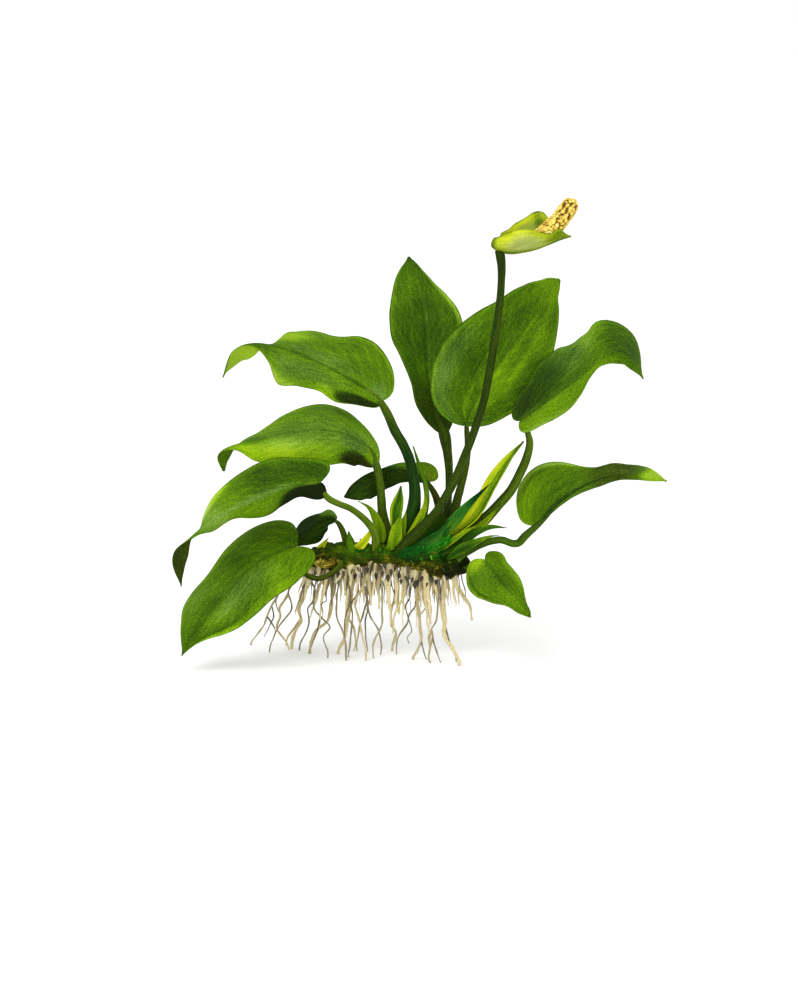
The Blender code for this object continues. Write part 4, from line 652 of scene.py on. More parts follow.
def blade_part(leaf, outline, rows, half_columns, lobes=True, thickness=0.5):
    """A closed thin blade with a midrib, veins that sink in above, and its shades of colour."""
    even = np.linspace(0, 1, half_columns + 1)
    dense = 0.4 * even + 0.6 * (1 - np.cos(math.pi * even)) / 2
    across = np.concatenate([-dense[:0:-1], dense])
    columns = len(across)
    surface = blade_surface(leaf, outline, rows, across, lobes)
    normals = surface_normals(surface)
    along = row_shares(rows)[:, None]
    place = across[None, :]
    off = np.abs(place)
    width = leaf["width"] * np.maximum(smooth(outline, along[:, 0])[:, None], 0.05)
    taper = 1 - 0.75 * along
    rib = np.exp(-(off * width / (0.9 * taper + 0.15))**2) * taper
    vein = VEINS * (along - 0.30 * off)
    fold = np.cos(2 * math.pi * vein) * np.clip(off * 3, 0, 1) * np.clip((1 - off) * 4, 0, 1)
    crinkle = lumps(surface, 9, leaf["width"]) * off * np.sin(math.pi * along)**0.5
    middle = 0.10 * fold + 0.45 * crinkle
    half_thick = 0.5 * thickness * (1 - 0.6 * off**4)
    upper = surface + normals * (middle + half_thick - 0.25 * rib)[..., None]
    lower = surface + normals * (middle - half_thick - 0.7 * rib)[..., None]

    tone = np.full((rows, columns), leaf.get("tone", 0.5))
    warm = np.full((rows, columns), leaf.get("warm", 0.0))
    # Lighter margins, partly the blade's yellower edge and partly painted rim light.
    margin = np.clip((off - 0.86) / 0.12, 0, 1)**1.5
    tone = tone + leaf.get("margin", 0.18) * margin + leaf.get("rib_tone", -0.10) * rib
    # Spots of tone, among them painted shade and painted sheen, as listed in SHADES.
    for at_along, at_across, long, wide, change, warmer, sharpness in leaf.get("spots", []):
        inside = spot(np.hypot((along - at_along) / long, (place - at_across) / wide), sharpness)
        tone = tone + change * inside
        warm = warm + warmer * inside
    tone = tone - leaf.get("outline", 0.26) * (off > 0.96)
    through = leaf.get("through", 0.3)
    under_tone = leaf.get("under_tone", 0.5) + through * (tone - tone.mean())
    under_warm = leaf.get("under_warm", 0.2) + through * warm
    length = path_length(leaf["midrib"])
    grain = np.stack(np.broadcast_arrays((off - 0.42 * along) * leaf["width"] + 40 * np.sign(place),
                                         0.0, along * length), axis=-1)

    skin = rows * columns
    rim = [row * columns for row in range(rows)]
    rim += [(rows - 1) * columns + column for column in range(1, columns)]
    rim += [row * columns + columns - 1 for row in range(rows - 2, -1, -1)]
    rim += list(range(columns - 2, 0, -1))
    faces = grid_faces(rows, columns, 0, flip=True) + grid_faces(rows, columns, skin)
    for first, second in zip(rim, rim[1:] + rim[:1]):
        faces.append([first, second, second + skin, first + skin])
    return make_part(np.concatenate([upper.reshape(-1, 3), lower.reshape(-1, 3)]), faces,
                     np.concatenate([tone.ravel(), under_tone.ravel()]),
                     np.concatenate([warm.ravel(), under_warm.ravel()]),
                     np.concatenate([grain.reshape(-1, 3)] * 2),
                     np.concatenate([vein.ravel()] * 2))


def tube_part(route, radii, sides, step, tone=0.5, warm=0.0, profile=None, inner=(0, -1, 0),
              knobs=0.0, seed=0, blunt=False):
    """A closed tube along a smooth route.
    profile(share, angle) gives what is added to the radius, its angle measured from inner."""
    count = max(6, round(path_length(route) / step) + 1)
    points = even_path(route, count)
    share = np.linspace(0, 1, count)[:, None]
    tangent = unit(np.gradient(points, axis=0))
    normal = np.broadcast_to(np.asarray(inner, float), tangent.shape)
    normal = unit(normal - np.sum(normal * tangent, axis=1, keepdims=True) * tangent)
    binormal = np.cross(tangent, normal)
    angle = turns_round(sides)[None]
    radius = smooth(radii, share[:, 0])[:, None] * np.ones(sides)
    if knobs:
        radius = radius * (1 + knobs * rough(points, seed, 0.35)[:, None])
    if profile is not None:
        radius = radius + profile(share, (angle + math.pi) % (2 * math.pi) - math.pi)
    rings = (points[:, None] + normal[:, None] * (np.cos(angle) * radius)[..., None]
             + binormal[:, None] * (np.sin(angle) * radius)[..., None])
    reach = radius[-1].mean() * (0 if blunt else 0.6)
    ends = np.stack([points[0], points[-1] + tangent[-1] * reach])
    run = share * path_length(route)
    base = float(np.max(radii))
    grain = np.stack(np.broadcast_arrays(np.cos(angle) * base + seed * 7.0,
                                         np.sin(angle) * base, run), axis=-1)
    grain = np.concatenate([grain.reshape(-1, 3), [[seed * 7.0, 0, 0], [seed * 7.0, 0, run[-1, 0]]]])
    return make_part(np.concatenate([rings.reshape(-1, 3), ends]),
                     tube_faces(count, sides, count * sides, count * sides + 1),
                     over_tube(tone, share, angle), over_tube(warm, share, angle), grain)


def lump_part(route, radii, sides, rings, relief, shade):
    """A closed lump along a route, round at both ends."""
    path = even_path(route, rings)
    share = np.linspace(0, 1, rings)[:, None]
    tangent = unit(np.gradient(path, axis=0))
    outward = unit(np.cross(tangent, (0, 1, 0)))
    across = np.cross(outward, tangent)
    angle = turns_round(sides)[None]
    close = np.sqrt(np.clip(1 - np.abs(2 * share - 1)**10, 0.003, 1))
    base = smooth(radii, share[:, 0])[:, None] * close
    direction = (outward[:, None] * np.cos(angle)[..., None]
                 + across[:, None] * np.sin(angle)[..., None])
    points = path[:, None] + direction * base[..., None]
    points = path[:, None] + direction * (base * (1 + relief(share, angle, points)))[..., None]
    ends = np.stack([path[0] - tangent[0] * 0.3, path[-1] + tangent[-1] * 0.3])
    tone, warm = shade(points)
    grain = np.stack(np.broadcast_arrays(np.cos(angle) * 5, np.sin(angle) * 5,
                                         share * path_length(route)), axis=-1).reshape(-1, 3)
    return make_part(np.concatenate([points.reshape(-1, 3), ends]),
                     tube_faces(rings, sides, rings * sides, rings * sides + 1, flip=True),
                     over_tube(tone, share, angle), over_tube(warm, share, angle),
                     np.concatenate([grain, grain[:1], grain[-1:]]))


def srgb(colour):
    """A screen colour from 0 to 255 as the linear colour that shaders take."""
    channels = [value / 255 for value in colour]
    return tuple(c / 12.92 if c <= 0.04045 else ((c + 0.055) / 1.055)**2.4 for c in channels)


class Look:
    """A material built node by node."""

    def __init__(self, name, roughness, specular=0.04):
        self.material = bpy.data.materials.new(name)
        self.material.use_nodes = True
        self.tree = self.material.node_tree
        self.shader = self.tree.nodes["Principled BSDF"]
        self.fill(self.shader, {"Roughness": roughness, "Specular IOR Level": specular})

    def fill(self, node, values):
        """Link each value to the node's socket, or write it there."""
        for socket, value in values.items():
            if isinstance(value, bpy.types.NodeSocket):
                self.tree.links.new(value, node.inputs[socket])
            elif value is not None:
                node.inputs[socket].default_value = value

    def node(self, kind, output, values, **settings):
        """The output of a new node with these settings and values."""
        node = self.tree.nodes.new("ShaderNode" + kind)
        for setting, value in settings.items():
            setattr(node, setting, value)
        self.fill(node, values)
        return node.outputs[output]

    def attribute(self, name, output="Fac"):
        return self.node("Attribute", output, {}, attribute_name=name)

    def place(self):
        """Where a point is on the plant, in metres."""
        return self.node("TexCoord", "Object", {})

    def streaks(self, scale, *kind):
        """A noise drawn out along the way that the piece grows."""
        grain = self.node("VectorMath", "Vector", {0: self.attribute("grain", "Vector"), 1: scale},
                          operation="MULTIPLY")
        return self.noise(grain, 1.0, *kind)

    def math(self, operation, *values, clamp=False):
        return self.node("Math", 0, dict(enumerate(values)), operation=operation, use_clamp=clamp)

    def noise(self, vector, scale, detail, rough_share=0.5, distortion=0.0):
        return self.node("TexNoise", "Fac", {"Vector": vector, "Scale": scale, "Detail": detail,
                                             "Roughness": rough_share, "Distortion": distortion})

    def vary(self, value, *changes):
        """Move a value up and down by noises round 0.5, each with its amount."""
        for change, amount in changes:
            value = self.math("MULTIPLY_ADD", self.math("SUBTRACT", change, 0.5), amount, value)
        return value

    def spread(self, value, low, high, to_low=0.0, to_high=1.0):
        """Move the range from low to high onto another range, and keep inside it."""
        return self.node("MapRange", "Result", {"Value": value, "From Min": low, "From Max": high,
                                                "To Min": to_low, "To Max": to_high})

    def ramp(self, value, *stops):
        """Colours from dark to light, given as (place, red, green, blue)."""
        node = self.tree.nodes.new("ShaderNodeValToRGB")
        self.fill(node, {"Fac": value})
        elements = node.color_ramp.elements
        while len(elements) < len(stops):
            elements.new(0.5)
        for element, (place, *colour) in zip(elements, stops):
            element.position = place
            element.color = (*srgb(colour), 1)
        return node.outputs["Color"]

    def mix(self, share, first, second):
        return self.node("Mix", "Result", {"Factor": share, "A": first, "B": second},
                         data_type="RGBA")

    def bump(self, height, strength, distance, normal=None):
        return self.node("Bump", "Normal", {"Strength": strength, "Distance": distance * MM,
                                            "Height": height, "Normal": normal})

    def finish(self, colour, roughness, normal):
        self.fill(self.shader, {"Base Color": colour, "Roughness": roughness, "Normal": normal})
        return self.material


def green_look(name, stops, cool_stops, streaks, mottle, patches, veins, streak_size):
    """Plant skin with brushy streaks along its growth, fine mottling, soft patches and veins."""
    look = Look(name, 0.5)
    streak = look.streaks(streak_size, 3.0, 0.6, 0.3)
    where = look.place()
    fine = look.noise(where, 1900.0, 2.0, 0.6)
    patch = look.noise(where, 75.0, 1.0)
    wave = look.math("COSINE", look.math("MULTIPLY", look.attribute("vein"), 2 * math.pi))
    line = look.math("POWER", look.math("MULTIPLY_ADD", wave, 0.5, 0.5), 6.0)
    tone = look.vary(look.attribute("tone"), (streak, streaks * 4), (fine, mottle * 4),
                     (patch, patches * 4))
    tone = look.math("MULTIPLY_ADD", line, veins, tone)
    warm = look.attribute("warm")
    # Below zero, warm turns the colour towards the cool ramp: the plant's own bluish green on stalks and
    # young leaves, and painted sheen in the grey-green spots on the leaf blades.
    colour = look.mix(look.math("MULTIPLY", warm, -1.0, clamp=True), look.ramp(tone, *stops),
                      look.ramp(tone, *cool_stops))
    colour = look.mix(look.math("MULTIPLY", warm, 1.0, clamp=True), colour,
                      look.ramp(tone, *OLIVE_STOPS))
    height = look.math("MULTIPLY_ADD", line, -0.6, streak)
    normal = look.bump(fine, 0.25, 0.05, look.bump(height, 0.5, 0.12))
    return look.finish(colour, look.spread(streak, 0.3, 0.7, 0.43, 0.60), normal)


def rhizome_look():
    """Old stem: mossy green above, brown below with a net of yellow fibres, and pale specks."""
    look = Look("old_stem", 0.7)
    where = look.place()
    warm = look.attribute("warm")
    fibre = look.streaks((0.9, 0.9, 0.22), 4.0, 0.65, 0.6)
    fine = look.noise(where, 1500.0, 3.0, 0.6)
    clump = look.noise(where, 260.0, 2.0, 0.6)
    value = look.vary(look.attribute("tone"), (fibre, 0.9), (fine, 0.6), (clump, 0.3))
    net = look.math("ABSOLUTE", look.math("SUBTRACT", look.noise(where, 210.0, 2.0, 0.5, 0.8), 0.5))
    threads = look.math("MULTIPLY", look.spread(net, 0.0, 0.045, 1.0, 0.0),
                        look.spread(warm, 0.3, 0.9, 0.0, 0.5))
    cells = look.node("TexVoronoi", "Distance", {"Vector": where, "Scale": 1000.0})
    specks = look.math("MULTIPLY", look.spread(cells, 0.10, 0.26, 0.4, 0.0),
                       look.spread(clump, 0.50, 0.62))
    value = look.math("ADD", look.math("ADD", value, threads), specks)
    moss = look.ramp(value, (0.0, 10, 20, 2), (0.3, 32, 54, 3), (0.55, 56, 88, 4),
                     (0.8, 98, 132, 10), (1.0, 168, 184, 60))
    bark = look.ramp(value, (0.0, 16, 14, 3), (0.3, 40, 40, 6), (0.55, 78, 74, 10),
                     (0.8, 146, 130, 26), (1.0, 204, 188, 96))
    emerald = look.ramp(value, (0.0, 2, 40, 10), (0.4, 14, 96, 16), (0.7, 50, 150, 14),
                        (1.0, 150, 206, 60))
    colour = look.mix(look.spread(warm, 0.0, 1.0), moss, bark)
    colour = look.mix(look.math("MULTIPLY", warm, -1.0, clamp=True), colour, emerald)
    height = look.math("MULTIPLY_ADD", clump, 0.8, look.math("ADD", fibre, threads))
    normal = look.bump(fine, 0.4, 0.1, look.bump(height, 0.8, 0.4))
    return look.finish(colour, look.spread(fibre, 0.3, 0.7, 0.6, 0.85), normal)


def root_look():
    """Roots: beige with darker joints, and dark thin ones."""
    look = Look("root_skin", 0.8, 0.1)
    streak = look.streaks((2.2, 2.2, 0.35), 3.0, 0.6, 0.4)
    ring = look.streaks((0.1, 0.1, 0.9), 2.0, 0.6)
    fine = look.noise(look.place(), 2600.0, 2.0, 0.6)
    value = look.vary(look.attribute("tone"), (streak, 0.8), (fine, 0.35), (ring, 0.45))
    pale = look.ramp(value, (0.0, 100, 86, 46), (0.3, 164, 146, 90), (0.6, 208, 192, 140),
                     (1.0, 234, 226, 194))
    dark = look.ramp(value, (0.0, 34, 31, 36), (0.3, 66, 63, 56), (0.6, 104, 99, 80),
                     (1.0, 170, 164, 140))
    colour = look.mix(look.spread(look.attribute("warm"), 0.0, 1.0), pale, dark)
    normal = look.bump(fine, 0.3, 0.08, look.bump(streak, 0.6, 0.25))
    return look.finish(colour, look.spread(streak, 0.3, 0.7, 0.7, 0.9), normal)


def spadix_look():
    """Small flowers: cream tops, and orange-brown creases between them whose darker tone is painted
    shade.
    """
    look = Look("spadix_flowers", 0.6, 0.25)
    where = look.place()
    fine = look.noise(where, 2200.0, 2.0, 0.6)
    value = look.vary(look.attribute("tone"), (fine, 0.5), (look.noise(where, 300.0, 1.0), 0.5))
    colour = look.ramp(value, (0.0, 104, 72, 14), (0.25, 166, 126, 36), (0.5, 206, 176, 64),
                       (0.75, 226, 206, 100), (1.0, 240, 232, 160))
    return look.finish(colour, 0.6, look.bump(fine, 0.4, 0.08))


def wings(angle, sharpness):
    """Where the two wings of a leaf's sheath are round its stalk."""
    return np.exp(-((np.abs(angle) - 1.15) / sharpness)**2)


def towards_top(share):
    return np.clip(2.4 * share - 1.2, 0, 1)


def stalk_profile(wing, reach, channel):
    """Two thin wings of a leaf's sheath that fade out up the stalk, and the channel between."""
    def profile(share, angle):
        fade = np.clip(1 - share / reach, 0, 1)**0.8
        groove = -np.exp(-(angle / 0.55)**2) * channel * (0.35 + fade)
        return wings(angle, 0.22) * wing * fade + groove
    return profile


def stalk_tone(base, wing_tone, reach, painted_lit_side, foot=0.0, top=0.0):
    """Light wing edges, a side painted lighter where light falls, and the changes of tone at the foot and
    the top.
    """
    def tone(share, angle):
        fade = np.clip(1 - share / reach, 0, 1)
        ends = foot * fade + top * towards_top(share)
        return (base + wings(angle, 0.25) * wing_tone * fade + painted_lit_side * np.cos(angle - 0.5)
                + ends)
    return tone


def stalk_part(name, leaf, tone=0.42, warm=0.15, side=0.10, wing=1.2, foot=0.0, top=(0.0, 0.0)):
    """A leaf's stalk, running on under the midrib."""
    strip = blade_surface(leaf, LEAF_OUTLINE, LEAF_ROWS, np.array([-0.05, 0.0, 0.05]), True)
    under = surface_normals(strip)[:, 1]
    run_on = [tuple(strip[row, 1] - under[row] * depth)
              for row, depth in ((4, 0.75), (12, 0.65), (22, 0.4))]
    radii = leaf["stalk_radius"] + [leaf["stalk_radius"][-1] * 0.55, 0.3]
    # side: how much lighter the lit side of the stalk is painted.
    return tube_part(leaf["stalk"][:-1] + run_on, radii, STALK_SIDES, STALK_STEP,
                     stalk_tone(tone, 0.35, WING_REACH, side, foot, top[0]),
                     lambda share, angle: warm + top[1] * towards_top(share),
                     stalk_profile(wing, WING_REACH, 0.35), (0.5, -1, 0.3), knobs=0.05,
                     seed=len(name))


def rhizome_relief(share, angle, points):
    """Ring scars, lumps and old leaf bases."""
    rings = np.cos(2 * math.pi * RHIZOME_SCARS * share + 0.6 * np.sin(angle))
    scars = 0.05 * rings - 0.07 * np.exp(-((rings + 1) / 0.12)**2)
    return scars + 0.13 * lumps(points, 3.2, 3) + 0.05 * lumps(points, 1.1, 5)


def mound_relief(share, angle, points):
    """Rough all over."""
    return 0.26 * lumps(points, 2.2, 31) + 0.16 * lumps(points, 0.8, 32)


def mound_shade(points):
    """Deep teal on the left and bright emerald on the right, lighter along the top."""
    x, z = points[..., 0], points[..., 2]
    clumps = lumps(points, 1.6, 33)
    bright = np.clip((x - 1) / 6, 0, 1)
    low = np.clip((46 + 0.3 * x - z) / 3, 0, 1)
    return 0.17 + 0.30 * bright + 0.16 * clumps, -0.8 + 0.4 * clumps + 0.9 * low


def rhizome_shade(points):
    """Green above, brown below, with an emerald patch by the crown, a darker left end, and a darker right
    end that is painted shadow under the crown.
    """
    x, z = points[..., 0], points[..., 2]
    top = np.clip((z - 41) / 4, -1, 1)
    clumps = lumps(points, 3, 8)
    # Painted shadow at the right end, under the crown.
    right = spot(np.hypot((x - 19) / 8, (z - 40) / 9), 4)
    tone = 0.40 + 0.06 * top + 0.12 * clumps - 0.26 * right
    tone = tone - 0.16 * spot(np.hypot((x + 42) / 7, (z - 43) / 5), 4)
    warm = np.clip(0.45 - 0.6 * top + 0.4 * clumps - 0.3 * right, 0, 1)
    warm = warm + 0.5 * spot(np.hypot((x + 42) / 8, (z - 43) / 5), 4)
    scar = np.hypot((x + 38.3) / 4.6, (z - 39.6) / 2.4)
    front = points[..., 1] < 0
    tone = tone + front * (0.34 * spot(scar, 7) - 0.30 * np.exp(-((scar - 1.1) / 0.22)**2))
    warm = warm + front * 1.0 * spot(scar, 6)
    return tone, warm - 2.0 * spot(np.hypot((x - 6) / 9, (z - 45) / 2.6), 5)


def root_route(start, foot_y, turns):
    """Points of a main root from inside the rhizome to its foot."""
    flat = [(start[0], ROOT_TOP)] + turns
    return np.array([(x, foot_y + (start[1] - foot_y) * z / ROOT_TOP, z) for x, z in flat])


def rootlet_route(start, end_y, turns):
    """Points of a rootlet from where it starts, its Y running evenly down to its end."""
    drop = max(start[2] - turns[-1][1], 0.1)
    points = [(x, start[1] + (end_y - start[1]) * (start[2] - z) / drop, z) for x, z in turns]
    return np.array([start] + points, float)


def kinked(points, size, seed):
    """The same route with small random kinks that fade at both ends."""
    count = max(12, round(path_length(points) / 1.2))
    route = even_path(points, count)
    run = np.linspace(0, path_length(points) / 6, count)
    fade = np.minimum(1, np.minimum(np.arange(count), np.arange(count)[::-1]) / 4)
    for axis in (0, 1):
        places = np.stack([run, run * 0 + 5 * axis, run * 0], axis=1)
        route[:, axis] += size * rough(places, seed) * fade
    route[:, 2] = np.maximum(route[:, 2], 0.35)
    return route


def root_part(route, radii, gain, dark, seed, sides=ROOT_SIDES, start=0.44, knobs=0.4, **more):
    """A root, darker by the rhizome and lighter towards the tip."""
    return tube_part(route, radii, sides, ROOT_STEP, lambda share, angle: start + gain * share,
                     dark, knobs=knobs, seed=seed, **more)


def short_root(draw, seed):
    """A short root under the rhizome: most pale and thin, some stout, some dark."""
    share = draw.uniform(0.0, 0.90)
    x, y, z = smooth(RHIZOME, [share])[0]
    kind = draw.random()
    if kind < 0.40:
        radius, down, dark = draw.uniform(0.5, 0.95), draw.uniform(8, 26), 0.0
    elif kind < 0.70:
        radius, down, dark = draw.uniform(0.9, 1.5), draw.uniform(3, 8), 0.1
    else:
        radius, down, dark = draw.uniform(0.24, 0.34), draw.uniform(6, 20), 1.0
    if share > 0.7:
        radius, down = radius * 0.7, min(down, 12)
    lean = draw.normal(0.12 * (x + 15), 2.0) * down / 14
    depth = draw.uniform(-4.5, 4.5)
    route = np.array([(x, y + depth * 0.5, z - 2.5), (x + lean * 0.3, y + depth * 0.9, z - 5.5),
                      (x + lean, y + depth, z - 5.5 - down)])
    return root_part(kinked(route, 0.9, seed), [radius * 1.2, radius, radius * 0.3], 0.26, dark,
                     seed, start=0.54, knobs=0.5)


def root_parts():
    """Every main root by its number, and all the fine rootlets as one part."""
    main_roots = []
    routes = []
    for number, (start, foot_y, radius, dark, turns) in enumerate(ROOTS, start=1):
        route = kinked(root_route(start, foot_y, turns), 0.45, number)
        route[-1, 2] = 0
        routes.append(route)
        radii = [radius * share for share in (1.6, 1.1, 1, 0.9, 0.8)]
        main_roots.append(root_part(route, radii, 0.26, dark, number, sides=12, knobs=0.45,
                                    blunt=True))
    rows = [((x, y, 38), *rest) for (x, y), *rest in RHIZOME_ROOTLETS]
    for number, height, *rest in FORKED_ROOTLETS:
        route = routes[number - 1]
        rows.append((tuple(route[np.argmin(np.abs(route[:, 2] - height))]), *rest))
    fine = []
    for seed, (start, end_y, radius, dark, turns) in enumerate(rows, start=40):
        route = kinked(rootlet_route(start, end_y, turns), 0.35, seed)
        fine.append(root_part(route, [radius * 1.2, radius, radius * 0.55], 0.20, dark, seed))
    draw = np.random.default_rng(7)
    for seed in range(70, 70 + SHORT_ROOTS):
        fine.append(short_root(draw, seed))
    # Dark nubs among the root tops, partly root tips and partly painted shadow in the gaps between them.
    for seed, (x, z) in enumerate(ROOT_NUBS_AND_SHADOW, start=300):
        lean = draw.uniform(-0.5, 0.5)
        size = draw.uniform(0.5, 0.85)
        route = [(x - lean, -4.6, z + 1.6 * size), (x, -5.4, z), (x + lean, -5.6, z - 2 * size)]
        fine.append(tube_part(route, [0.2, size, 0.7 * size, 0.2], 10, 0.4,
                              draw.uniform(0.12, 0.34), 1.0, knobs=0.5, seed=seed))
    return main_roots, join_parts(fine)


def moss_part():
    """Small mossy scales on the old stem's upper front and over the crown."""
    draw = np.random.default_rng(23)
    stem = (RHIZOME, RHIZOME_RADIUS, (0.22, 0.86), (5, 80), 0.92, 0.4, 1.0)
    crown = (MOUND, MOUND_RADIUS, (0.05, 0.95), (-40, 60), 0.9, -0.4, 0.7)
    parts = []
    for seed in range(500, 500 + MOSS_SCALES):
        size = draw.uniform(0.5, 1.1)
        route, radii, along, around, sunk, warmest, smaller = stem if seed % 5 < 3 else crown
        share = draw.uniform(*along)
        turn = math.radians(draw.uniform(*around))
        out = np.array([0.5, -math.cos(turn), math.sin(turn)])
        start = smooth(route, [share])[0] + smooth(radii, [share])[0] * out * sunk
        warm = draw.uniform(-1, warmest)
        size *= smaller
        side = draw.normal(0, 0.4, 3)
        route = np.array([start, start + out * size, start + (out + side) * 1.8 * size])
        parts.append(tube_part(route, [0.3 * size, 0.45 * size, 0.1], 8, 0.5,
                               draw.uniform(0.2, 0.8), warm, knobs=0.5, seed=seed))
    return parts


def flower_part(centre, out, ahead, beside, size, change):
    """A small round flower on the spadix, darker towards its foot as painted shade between the flowers.
    """
    rings = np.arange(1, FLOWER_RINGS + 1)[:, None]
    lift = rings / (FLOWER_RINGS + 1) * math.pi
    angle = turns_round(FLOWER_SIDES)[None]
    level = (np.sin(lift) * size)[..., None]
    high = ((1 - np.cos(lift)) * 0.5 * size * 1.15)[..., None]
    around = ahead * np.cos(angle)[..., None] + beside * np.sin(angle)[..., None]
    points = (centre + out * high + around * level).reshape(-1, 3)
    # Darker towards the foot: painted shade between the flowers.
    tone = (0.22 + 0.40 * (rings / FLOWER_RINGS)**1.5) * np.ones(FLOWER_SIDES)
    points = np.concatenate([[centre - out * 0.2], points, [centre + out * size * 1.15]])
    tone = np.concatenate([[0.0], tone.ravel(), [0.64]])
    faces = tube_faces(FLOWER_RINGS, FLOWER_SIDES, 0, len(points) - 1, start=1, flip=True)
    return make_part(points, faces, tone + change)


def spadix_part():
    """A core with small round flowers set in spirals."""
    steps = 119
    path = even_path(SPADIX, steps + 1)
    tangent = unit(np.gradient(path, axis=0))
    radius = smooth(SPADIX_RADIUS, np.linspace(0, 1, steps + 1))
    draw = np.random.default_rng(3)
    core = np.maximum(radius - 0.55, 0.3)
    tip = round(CAP_START * steps)
    core[tip:] = core[tip] * np.sqrt(np.linspace(1, 0.02, steps + 1 - tip))
    # The core's dark tone shows only in the gaps between the flowers, as painted shade there.
    parts = [tube_part(path, core, 20, 0.8, 0.05, seed=1)]
    golden = math.pi * (3 - math.sqrt(5))
    for number in range(FLOWERS):
        share = 0.34 + 0.66 * (number + draw.uniform(0, 1)) / FLOWERS
        row = min(steps, round(share * steps))
        ahead = tangent[row]
        first = unit(np.cross(ahead, (0, 1, 0)))
        second = np.cross(ahead, first)
        turn = golden * number + draw.normal(0, 0.16)
        out = first * math.cos(turn) + second * math.sin(turn)
        beside = unit(np.cross(out, ahead))
        size = draw.uniform(0.55, 1.0)
        if share > CAP_START:
            row = tip
            turned = (share - CAP_START) / (1 - CAP_START) * math.pi / 2
            ahead = tangent[tip] * math.cos(turned) - out * math.sin(turned)
            out = out * math.cos(turned) + tangent[tip] * math.sin(turned)
        centre = path[row] + out * (radius[row] - 0.55)
        parts.append(flower_part(centre, out, ahead, beside, size, draw.normal(0, 0.10)))
    return join_parts(parts)


def young_shape(midrib, face, width, left, right=None, left_share=EVEN, right_share=EVEN):
    """A narrow blade's table in the form of a leaf's."""
    halves = [half(share, [lift] * 2, [bend] * 2)
              for share, (lift, bend) in ((left_share, left), (right_share, right or left))]
    return leaf_of(width, [face] * 2, midrib, *halves)


def build():
    """Every piece of the plant."""
    leaf_look = green_look("leaf_skin", LEAF_STOPS, COOL_STOPS, 0.10, 0.20, 0.08, 0.05,
                           (0.9, 0.9, 0.11))
    stalk_look = green_look("stalk_skin", STALK_STOPS, TEAL_STOPS, 0.16, 0.12, 0.06, 0.0,
                            (1.6, 1.6, 0.07))
    young_look = green_look("young_skin", YOUNG_STOPS, TEAL_STOPS, 0.20, 0.10, 0.05, 0.0,
                            (1.6, 1.6, 0.08))
    spathe_look = green_look("spathe_skin", SPATHE_STOPS, GREY_STOPS, 0.22, 0.10, 0.05, 0.0,
                             (1.3, 1.3, 0.06))
    for name, table in LEAVES.items():
        shape = {**table, **SHADES[name]}
        blade = blade_part(shape, LEAF_OUTLINE, LEAF_ROWS, LEAF_HALF_COLUMNS)
        add_piece("blade_" + name, blade, leaf_look, "leaf", "leaf_" + name)
        stalk = stalk_part(name, shape, **shape.get("petiole", {}))
        add_piece("petiole_" + name, stalk, stalk_look, "stalk", "stalk_" + name)
    for kind, outline, table in (("young_", SPEAR_OUTLINE, YOUNG),
                                 ("crown_", BASE_OUTLINE, CROWN_BLADES)):
        for name, row in table.items():
            part = blade_part({**young_shape(*row), **SHADES[name]}, outline, YOUNG_ROWS,
                              YOUNG_HALF_COLUMNS, lobes=False, thickness=0.6)
            sheath = kind == "crown_" or name.startswith("sheath")
            replaced = [name] if kind == "young_" else []
            add_piece(kind + name, part, young_look, "sheath" if sheath else "young_leaf",
                      *replaced)
    add_piece("young_shoot", tube_part(THIN_SHOOT, THIN_SHOOT_RADIUS, 14, 1.0), young_look,
              "young_leaf", "thin_shoot")
    add_piece("young_bud", tube_part(BUD, BUD_RADIUS, 16, 0.6, 0.45), young_look, "young_leaf",
              "bud")

    rhizome = lump_part(RHIZOME, RHIZOME_RADIUS, 72, 150, rhizome_relief, rhizome_shade)
    mound = lump_part(MOUND, MOUND_RADIUS, 48, 90, mound_relief, mound_shade)
    add_piece("old_stem", join_parts([rhizome, mound] + moss_part()), rhizome_look(), "rhizome",
              "rhizome")
    root_skin = root_look()
    main_roots, rootlets = root_parts()
    for number, part in enumerate(main_roots, start=1):
        add_piece(f"main_root_{number:02d}", part, root_skin, "root", f"root_{number:02d}")
    add_piece("rootlets", rootlets, root_skin, "root")

    spathe = blade_part({**SPATHE, **SHADES["spathe"]}, BOAT_OUTLINE, 60, 20, lobes=False)
    add_piece("spathe_blade", spathe, spathe_look, "spathe", "spathe")
    add_piece("spadix_flowers", spadix_part(), spadix_look(), "spadix", "spadix")
    # One side of the flower stalk is painted lighter, as lit.
    flower_stalk = tube_part(PEDUNCLE, PEDUNCLE_RADIUS, 24, 1.1, stalk_tone(0.24, 0.2, 0.2, 0.10),
                             0.08, profile=stalk_profile(0.5, 0.22, 0.15), knobs=0.04, seed=11)
    add_piece("flower_stalk", flower_stalk, stalk_look, "stalk", "peduncle")


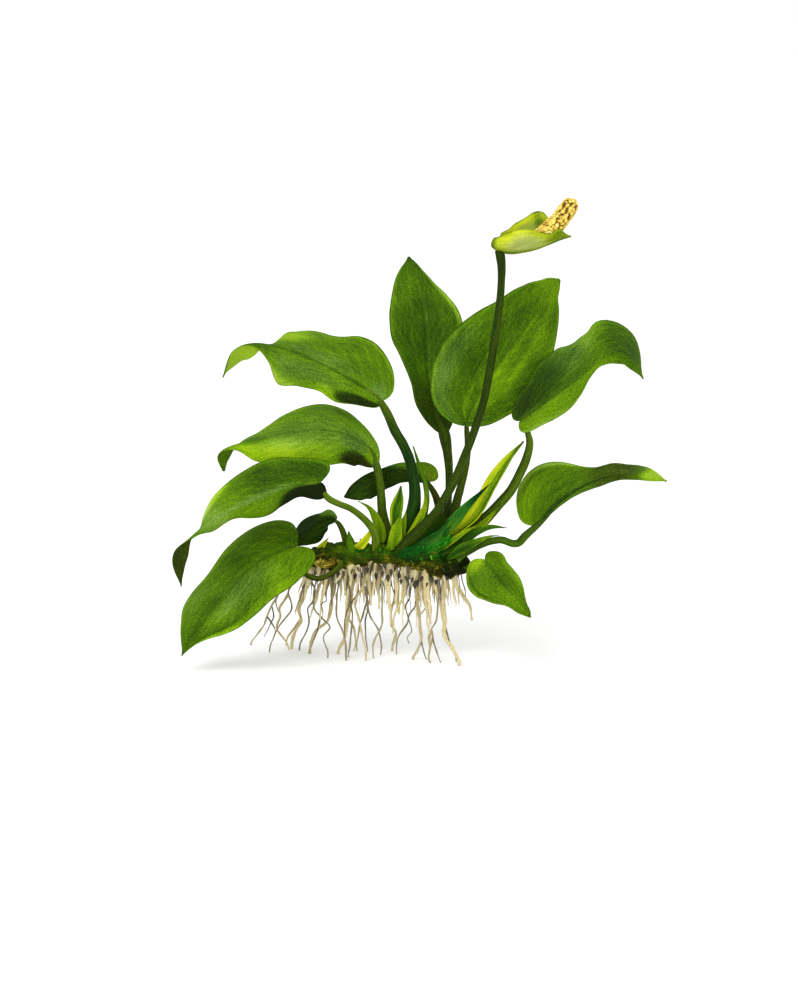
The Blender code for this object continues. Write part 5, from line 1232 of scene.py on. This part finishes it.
def set_stage():
    """Pale floor, soft lights and the camera."""
    scene = bpy.context.scene
    mesh = bpy.data.meshes.new("floor")
    corner = FLOOR_REACH
    mesh.from_pydata([(-corner, -corner, 0), (corner, -corner, 0), (corner, corner, 0),
                      (-corner, corner, 0)], [], [(0, 1, 2, 3)])
    floor = bpy.data.objects.new("floor", mesh)
    scene.collection.objects.link(floor)
    look = Look("floor_paint", 0.9, 0.0)
    look.fill(look.shader, {"Base Color": (0.92, 0.92, 0.92, 1)})
    mesh.materials.append(look.material)

    scene.world = bpy.data.worlds.new("studio")
    scene.world.use_nodes = True
    background = scene.world.node_tree.nodes["Background"]
    background.inputs["Color"].default_value = (1, 1, 1, 1)
    background.inputs["Strength"].default_value = WORLD_LIGHT
    for name, place, size, power in LIGHTS:
        data = bpy.data.lights.new(name, "AREA")
        data.shape = "DISK"
        data.size = size
        data.energy = power
        light = bpy.data.objects.new(name, data)
        light.location = place
        towards = Vector((0, 0, 0.09)) - Vector(place)
        light.rotation_euler = towards.to_track_quat("-Z", "Y").to_euler()
        scene.collection.objects.link(light)

    data = bpy.data.cameras.new("camera")
    data.sensor_fit = "AUTO"
    data.sensor_width = SENSOR
    data.lens = SENSOR * CAMERA_DISTANCE / VIEW_HEIGHT
    data.clip_start = 0.01
    data.clip_end = 200
    camera = bpy.data.objects.new("camera", data)
    tilt = math.radians(CAMERA_ELEVATION)
    aim = Vector((AIM[0] - CENTRE[0], AIM[1] - CENTRE[1], AIM[2])) * MM
    camera.location = aim + Vector((0, -math.cos(tilt), math.sin(tilt))) * CAMERA_DISTANCE * MM
    camera.rotation_euler = (math.radians(90) - tilt, 0, 0)
    scene.collection.objects.link(camera)
    scene.camera = camera
    scene.view_settings.view_transform = "Standard"
    scene.view_settings.look = "None"


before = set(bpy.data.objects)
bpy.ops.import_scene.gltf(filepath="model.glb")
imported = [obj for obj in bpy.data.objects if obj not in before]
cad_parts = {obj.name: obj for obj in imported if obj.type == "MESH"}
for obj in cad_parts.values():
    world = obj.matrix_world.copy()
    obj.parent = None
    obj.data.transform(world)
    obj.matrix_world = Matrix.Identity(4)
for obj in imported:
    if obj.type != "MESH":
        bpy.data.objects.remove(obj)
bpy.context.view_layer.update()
build()
set_stage()
